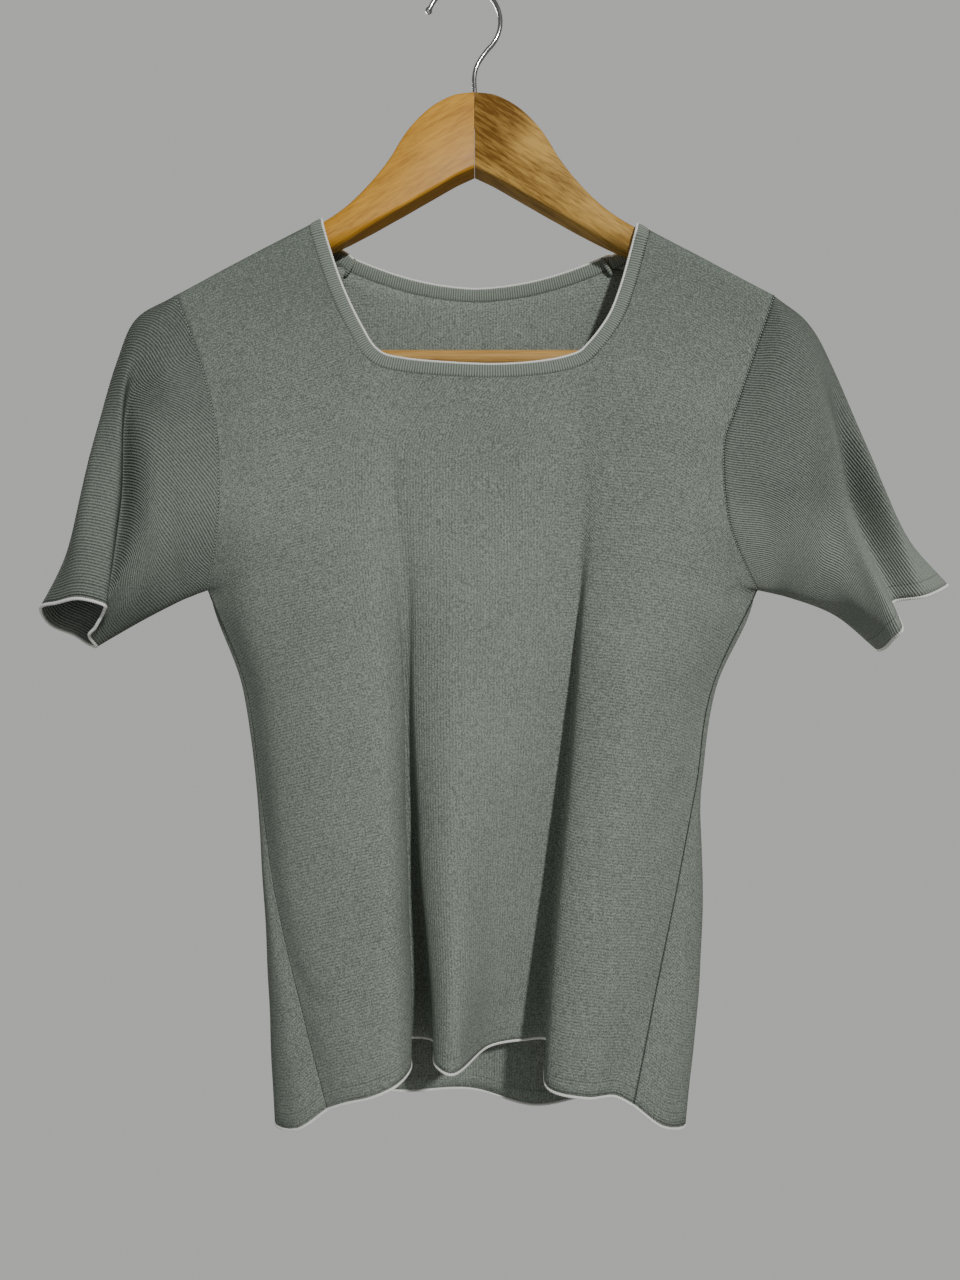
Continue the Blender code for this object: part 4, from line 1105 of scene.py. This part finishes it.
def add_seam_end(name, top, bottom, bulge):
    """A short overlocked roll from top to bottom, bowed out by bulge."""
    share = np.linspace(0, 1, SEAM_END_BEATS * STITCH_POINTS + 1)
    centre = top + (bottom - top) * share[:, None] + bulge * np.sin(math.pi * share)[:, None]
    beat = 0.5 + 0.5 * np.cos(2 * np.pi * share * SEAM_END_BEATS)
    taper = np.sqrt(np.sin(math.pi * (0.06 + 0.88 * share)))
    bare, thread = SEAM_END_THREAD
    radius = (SEAM_END_RADIUS * (bare + thread * beat) * taper)[:, None]
    out, across = unit(bulge), unit(np.cross(bottom - top, bulge))
    rings = [centre + (out * math.sin(turn) + across * math.cos(turn) * SEAM_END_WIDE) * radius
             for turn in turns(THREAD_SIDES)]
    return add_tube(name, np.stack(rings, axis=1), RIB, beat)


past, behind = SEAM_END_TOP
below, foot_behind, aside = SEAM_END_FOOT
# Which point of the back neck's edge each one crosses, and the side that its foot leans to
for name, at, side in (("left", 2, -1), ("right", -3, 1)):
    edge, turned, way = (values[at] for values in neck_edges["back"])
    top = edge + way * (BAND_WIDTH + past) - turned * behind
    bottom = edge - way * below - turned * foot_behind + np.array([aside * side, 0, 0])
    bulge = -unit(turned) * SEAM_END_BULGE
    settle(add_seam_end("shoulder_seam_end_" + name, top, bottom, bulge), "rib")
    print(name, "seam end from", top.round(1), "to", bottom.round(1))

# %% [markdown]
# ## Overlocked hem and cuffs
# The free edges are rolled and covered with close light stitches, so they read as a pale cord
# with a fine beat. A tube follows each edge of the cloth and swells at every stitch.

# %% Hem and cuff edging
EDGING_DEPTH = 2.0
EDGING_THICK = 1.9
STITCH_PITCH = 1.4

edges = {"hem_edging_" + name: free_edge(name, np.s_[:, 0], np.s_[:, 1])
         for name in ("front", "back")}
shared_ways(edges["hem_edging_front"][2], edges["hem_edging_back"][2])
for name in ARMHOLES:
    edges["cuff_edging_" + name] = free_edge(name, np.s_[:, -1], np.s_[:, -2], True)
for node, edge in edges.items():
    settle(add_stitched_edge(node + "_thread", *edge, 0.0, EDGING_DEPTH, EDGING_THICK,
                             STITCH_PITCH, closed=node.startswith("cuff")), "light_trim", node)
    print(node, round(run_along(edge[0])[-1]), "mm long")

# %% [markdown]
# ## Linking stitches
# Where the sleeves are linked on, a row of small loops shows along the seam. One loop is
# modelled as a short tube and repeated along each armhole.

# %% Stitches along a seam
LOOP_PITCH, LOOP_LONG, LOOP_WIDE = 2.0, 1.5, 0.6
LOOP_LIFT = CLOTH / 2 + 0.1
LOOP_SIDES = 5
# Share of the loop's length from its middle, and share of its width there
LOOP_SECTIONS = ((-0.5, 0.3), (-0.2, 1.0), (0.2, 1.0), (0.5, 0.3))


def add_seam_stitches(name, edge, turned):
    """Small rounded loops lying on the cloth along a seam."""
    line, turned, ahead = walk(edge, turned, np.gradient(edge, axis=0), step=LOOP_PITCH)[1]
    turned, ahead = unit(turned), unit(ahead)
    across = np.cross(turned, ahead)
    points, ridge = [], []
    for end, thin in LOOP_SECTIONS:
        for turn in turns(LOOP_SIDES):
            up = LOOP_LIFT + LOOP_WIDE / 2 * thin * math.sin(turn)
            aside = LOOP_WIDE / 2 * thin * math.cos(turn)
            points.append(line + turned * up + across * aside + ahead * end * LOOP_LONG)
            ridge.append(thin)
    faces = [tuple(corner + loop * len(ridge) for corner in face) for loop in range(len(line))
             for face in tube_faces(len(LOOP_SECTIONS), LOOP_SIDES)]
    return add_mesh(name, np.stack(points, axis=1).reshape(-1, 3), faces, LINK_THREAD,
                    ridge=ridge * len(line))


for name in ARMHOLES:
    seam = [np.vstack([values[name][:, 0], values[name][:1, 0]]) for values in (sheets, normals)]
    loops = settle(add_seam_stitches("armhole_stitches_" + name, *seam), "knit")
    print(name, "armhole stitches", len(loops.data.polygons), "faces")

# %% [markdown]
# ## Hanger
# Two wooden arms are mitred in the middle and varnished, with a round bar let into their ends
# and a wire hook. Each arm grows from one plane, extruded and resized from station to station,
# and a bevel rounds its long edges, more towards the tip. The bar's own solid is true, so it
# only gets its look.

# %% Wood looks
ARM_FACE = -9.0        # depth of the arms' front near the middle


def wood_look(name, light, dark, slope, stains_and_highlight=()):
    """Varnished wood, its grain down a slope in degrees, stains and a painted highlight as (x, z,
    radius, tone).
    """
    look = Look(name, {"Specular IOR Level": 0.2, "Coat Weight": 0.1, "Coat Roughness": 0.2})
    place = look.place()
    turned = look.node("Mapping", {}, {"Vector": place,
                                       "Rotation": (0.0, math.radians(slope), 0.0)})

    def grain(along, across, detail=2.0):
        stretched = look.node("Mapping", {}, {"Vector": turned, "Scale": (along, across, across)})
        return look.noise(stretched, 1.0, detail, 0.55)

    lines = grain(24.0, 560.0)
    pores = grain(75.0, 1300.0)
    tone = look.ramp(grain(12.0, 130.0, 3.0), 0.35, 0.65) * 0.3 \
        + look.ramp(lines, 0.36, 0.6) * 0.38 + look.ramp(pores, 0.36, 0.52) * 0.22 \
        + look.ramp(look.noise(place, 26), 0.3, 0.7) * 0.1
    for x, z, radius, change in stains_and_highlight:
        middle = (x * MM, ARM_FACE * MM, z * MM)
        gap = look.node("VectorMath", {"operation": "DISTANCE"}, (place, middle), "Value")
        tone = tone + look.line(gap, radius) * change
    look.feed("Base Color", look.mix(tone, dark, light))
    look.feed("Roughness", look.ramp(pores, 0.2, 0.8) * 0.12 + 0.36)
    look.bump(lines * 0.6 + pores, 0.00012, 0.5)
    return look.material


WOOD = {
    "left": wood_look("honey_wood_left", (0.76, 0.385, 0.045), (0.40, 0.17, 0.012), 33,
                      ((-91.7, -165.0, 1.6, -1.2), (-12.0, -112.0, 22.0, 0.12))),
    # The right arm's light spot at 45 mm across is a painted highlight
    "right": wood_look("honey_wood_right", (0.68, 0.41, 0.10), (0.17, 0.075, 0.008), -36,
                       ((18.0, -95.0, 34.0, -0.5), (45.0, -111.0, 17.0, 0.3),
                        (84.0, -160.0, 26.0, 0.25))),
    "bar": wood_look("honey_wood_bar", (0.68, 0.41, 0.13), (0.38, 0.19, 0.04), 0),
}
print("wood looks", [look.name for look in WOOD.values()])

# %% Arm stations
ARM_THICK = 16.4
ARM_TOP = -74.4
GAP = 0.3
# The long edges are rounded by the first amount near the middle, growing to the second
# between two reaches
EDGE_ROUND, ARM_ROUND = 1.8, 7.8
ROUND_FROM, ROUND_TO = 64, 99
LEAST_FLAT = (0.5, 0.3)      # what rounding leaves of half the height and half the thickness
TIP_ROUND = 14.0
TIP_NARROW = 0.8
ARM_STEPS = 4                # sections from one station to the next
# Outline of an arm: distance from the mitre, top height, bottom height
ARM_STATIONS = (
    (GAP / 2, ARM_TOP, -124.8), (12, -76.6, -131), (19, -79.7, -135.3), (27, -84.7, -140.4),
    (35, -91.8, -145.4), (43, -101, -150.5), (49, -110, -154.3), (55, -120.4, -158),
    (64, -132.8, -163.8), (74, -144, -170.2), (85, -154, -177.2), (99, -163.8, -185),
    (130, -182, -201), (160, -199.8, -220), (180, -212.3, -240), (188, -218, -253),
    (195, -223.5, -262), (203, -230, -264), (209, -236.5, -259), (ARM_REACH, -243, -251),
)


def arm_section(reach, top, bottom):
    """Middle height, thickness, height and edge rounding of an arm at a reach."""
    past = max(reach - (ARM_REACH - TIP_ROUND), 0) / TIP_ROUND
    thick = ARM_THICK * math.sqrt(1 - TIP_NARROW * past * past)
    past_middle = ease((reach - ROUND_FROM) / (ROUND_TO - ROUND_FROM))
    rounding = EDGE_ROUND + (ARM_ROUND - EDGE_ROUND) * past_middle
    rounding = min(rounding, (top - bottom) / 2 - LEAST_FLAT[0], thick / 2 - LEAST_FLAT[1])
    return (top + bottom) / 2, thick, top - bottom, rounding

# %% Arms by extruding a section
LONG_EDGE = 0.2        # an edge that goes further across than this runs along the arm
SHARP_ANGLE = 35       # degrees between faces, past which an edge stays sharp


def select_only(*pieces):
    """Select these pieces and nothing else, the last one active."""
    bpy.ops.object.select_all(action="DESELECT")
    for piece in pieces:
        piece.select_set(True)
        bpy.context.view_layer.objects.active = piece


def give_look(piece, look):
    piece.data.materials.clear()
    piece.data.materials.append(look)


def add_arm(name, side, look):
    """A plane grown section by section along the arm, then its long edges rounded."""
    stations = smooth_line(ARM_STATIONS, [ARM_STEPS] * (len(ARM_STATIONS) - 1))
    sections = [(station[0], *arm_section(*station)) for station in stations]
    reaches, middles, thicks, talls, roundings = zip(*sections)
    places = [Vector((MID + side * reach, arm_depth(MID + reach), middle)) * MM
              for reach, middle in zip(reaches, middles)]
    select_only()
    bpy.ops.mesh.primitive_plane_add(size=1.0, location=places[0], rotation=(0, math.pi / 2, 0))
    arm = bpy.context.object
    arm.name = name
    bpy.ops.object.transform_apply(location=True, rotation=True, scale=True)
    bpy.ops.object.mode_set(mode="EDIT")
    bpy.ops.transform.resize(value=(1, thicks[0] * MM, talls[0] * MM), center_override=places[0])
    for last in range(len(sections) - 1):
        here = last + 1
        bpy.ops.mesh.extrude_region_move(
            TRANSFORM_OT_translate={"value": places[here] - places[last]})
        bpy.ops.transform.resize(
            value=(1, thicks[here] / thicks[last], talls[here] / talls[last]),
            center_override=places[here])
    bpy.ops.mesh.select_all(action="SELECT")
    bpy.ops.mesh.normals_make_consistent(inside=False)
    bpy.ops.object.mode_set(mode="OBJECT")
    weights = arm.data.attributes.new("bevel_weight_edge", "FLOAT", "EDGE")
    for edge in arm.data.edges:
        one, two = (arm.data.vertices[index].co.x / MM for index in edge.vertices)
        if abs(one - two) > LONG_EDGE:
            rounding = np.interp(abs((one + two) / 2 - MID), reaches, roundings)
            weights.data[edge.index].value = float(rounding) / ARM_ROUND
    bevel = arm.modifiers.new("round the long edges", "BEVEL")
    bevel.limit_method = "WEIGHT"
    bevel.width = ARM_ROUND * MM
    bevel.segments = 5
    bevel.use_clamp_overlap = False
    bpy.ops.object.modifier_apply(modifier=bevel.name)
    bpy.ops.object.shade_smooth_by_angle(angle=math.radians(SHARP_ANGLE))
    give_look(arm, look)
    return arm


wood = {}
for name, side in (("left", -1), ("right", 1)):
    wood[name] = add_arm("arm_" + name + "_varnished", side, WOOD[name])
    settle(wood[name], "varnished_wood", "hanger_arm_" + name)
    print(name, "arm", len(wood[name].data.polygons), "faces")
give_look(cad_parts["trouser_bar"], WOOD["bar"])

# %% [markdown]
# ## Hook
# The hook is bright round wire, bent most of the way round, with a small ball on its end. A
# curve with a round bevel makes the wire in one step: its points go round the bend by angle
# and then down a slack S into the stem. It is made a mesh and joined to the ball.

# %% Hook
WIRE_RADIUS = 1.5
HOOK_RADIUS = 24.5
BALL_RADIUS = 2.3
BALL_BACK = 0.3            # how far the ball is set back on the wire's end
STEM_DEPTH = 20.0
TIP_ANGLE, BEND_ANGLE, ANGLE_STEP = 162, -49, -7
# The slack S below the bend: distance from the middle, and height
STEM_BEND = ((1.6, -52.5), (-0.2, -60), (0, -70))
STEM_STEPS = 6


def hook_path():
    """Centre line of the wire from the tip over the top down to the stem."""
    centre = WIRE_RADIUS - HOOK_RADIUS
    path = []
    for degrees in range(TIP_ANGLE, BEND_ANGLE, ANGLE_STEP):
        turn = math.radians(degrees)
        path.append((HOOK_RADIUS * math.cos(turn), centre + HOOK_RADIUS * math.sin(turn)))
    stem = [(MID + x, z) for x, z in STEM_BEND]
    tail = smooth_line([*path[-2:], *stem], [1] + [STEM_STEPS] * len(stem))
    return [*path, *tail[2:], (MID, ARM_TOP - STEM_DEPTH)]


chrome = Look("polished_wire", {"Metallic": 1.0})
wear = chrome.noise(chrome.place(), 300, 3.0)
chrome.feed("Base Color", chrome.mix(wear, (0.70, 0.70, 0.71), (0.80, 0.80, 0.81)))
chrome.feed("Roughness", chrome.ramp(wear, 0.3, 0.7) * 0.06 + 0.1)

path = hook_path()
curve = bpy.data.curves.new("hook_wire", "CURVE")
curve.dimensions = "3D"
curve.bevel_depth = WIRE_RADIUS * MM
curve.bevel_resolution = 6
curve.use_fill_caps = True
spline = curve.splines.new("POLY")
spline.points.add(len(path) - 1)
for point, (x, z) in zip(spline.points, path):
    point.co = (x * MM, 0, z * MM, 1)
wire = add_object("hook_wire", curve)
select_only(wire)
bpy.ops.object.convert(target="MESH")
wire = bpy.context.object
tip = ((path[0][0] - BALL_BACK) * MM, 0, path[0][1] * MM)
bpy.ops.mesh.primitive_uv_sphere_add(segments=24, ring_count=16, radius=BALL_RADIUS * MM,
                                     location=tip)
select_only(bpy.context.object, wire)
bpy.ops.object.join()
wire.name = "hook_wire"
wire.data.shade_smooth()
give_look(wire, chrome.material)
settle(wire, "chrome", "hook")
print("hook", len(wire.data.polygons), "faces")

# %% [markdown]
# ## Floor
# The floor is a plain pale disc well below, out of the photo's view.

# %% Floor
FLOOR_PLACE = (0.01, -0.1, -1.6)
FLOOR_RADIUS = 0.85

select_only()
bpy.ops.mesh.primitive_circle_add(vertices=96, radius=FLOOR_RADIUS, fill_type="NGON",
                                  location=FLOOR_PLACE)
floor = bpy.context.object
floor.name = "floor"
floor_look = Look("pale_floor", {"Roughness": 0.9, "Base Color": (0.62, 0.61, 0.60, 1)})
give_look(floor, floor_look.material)
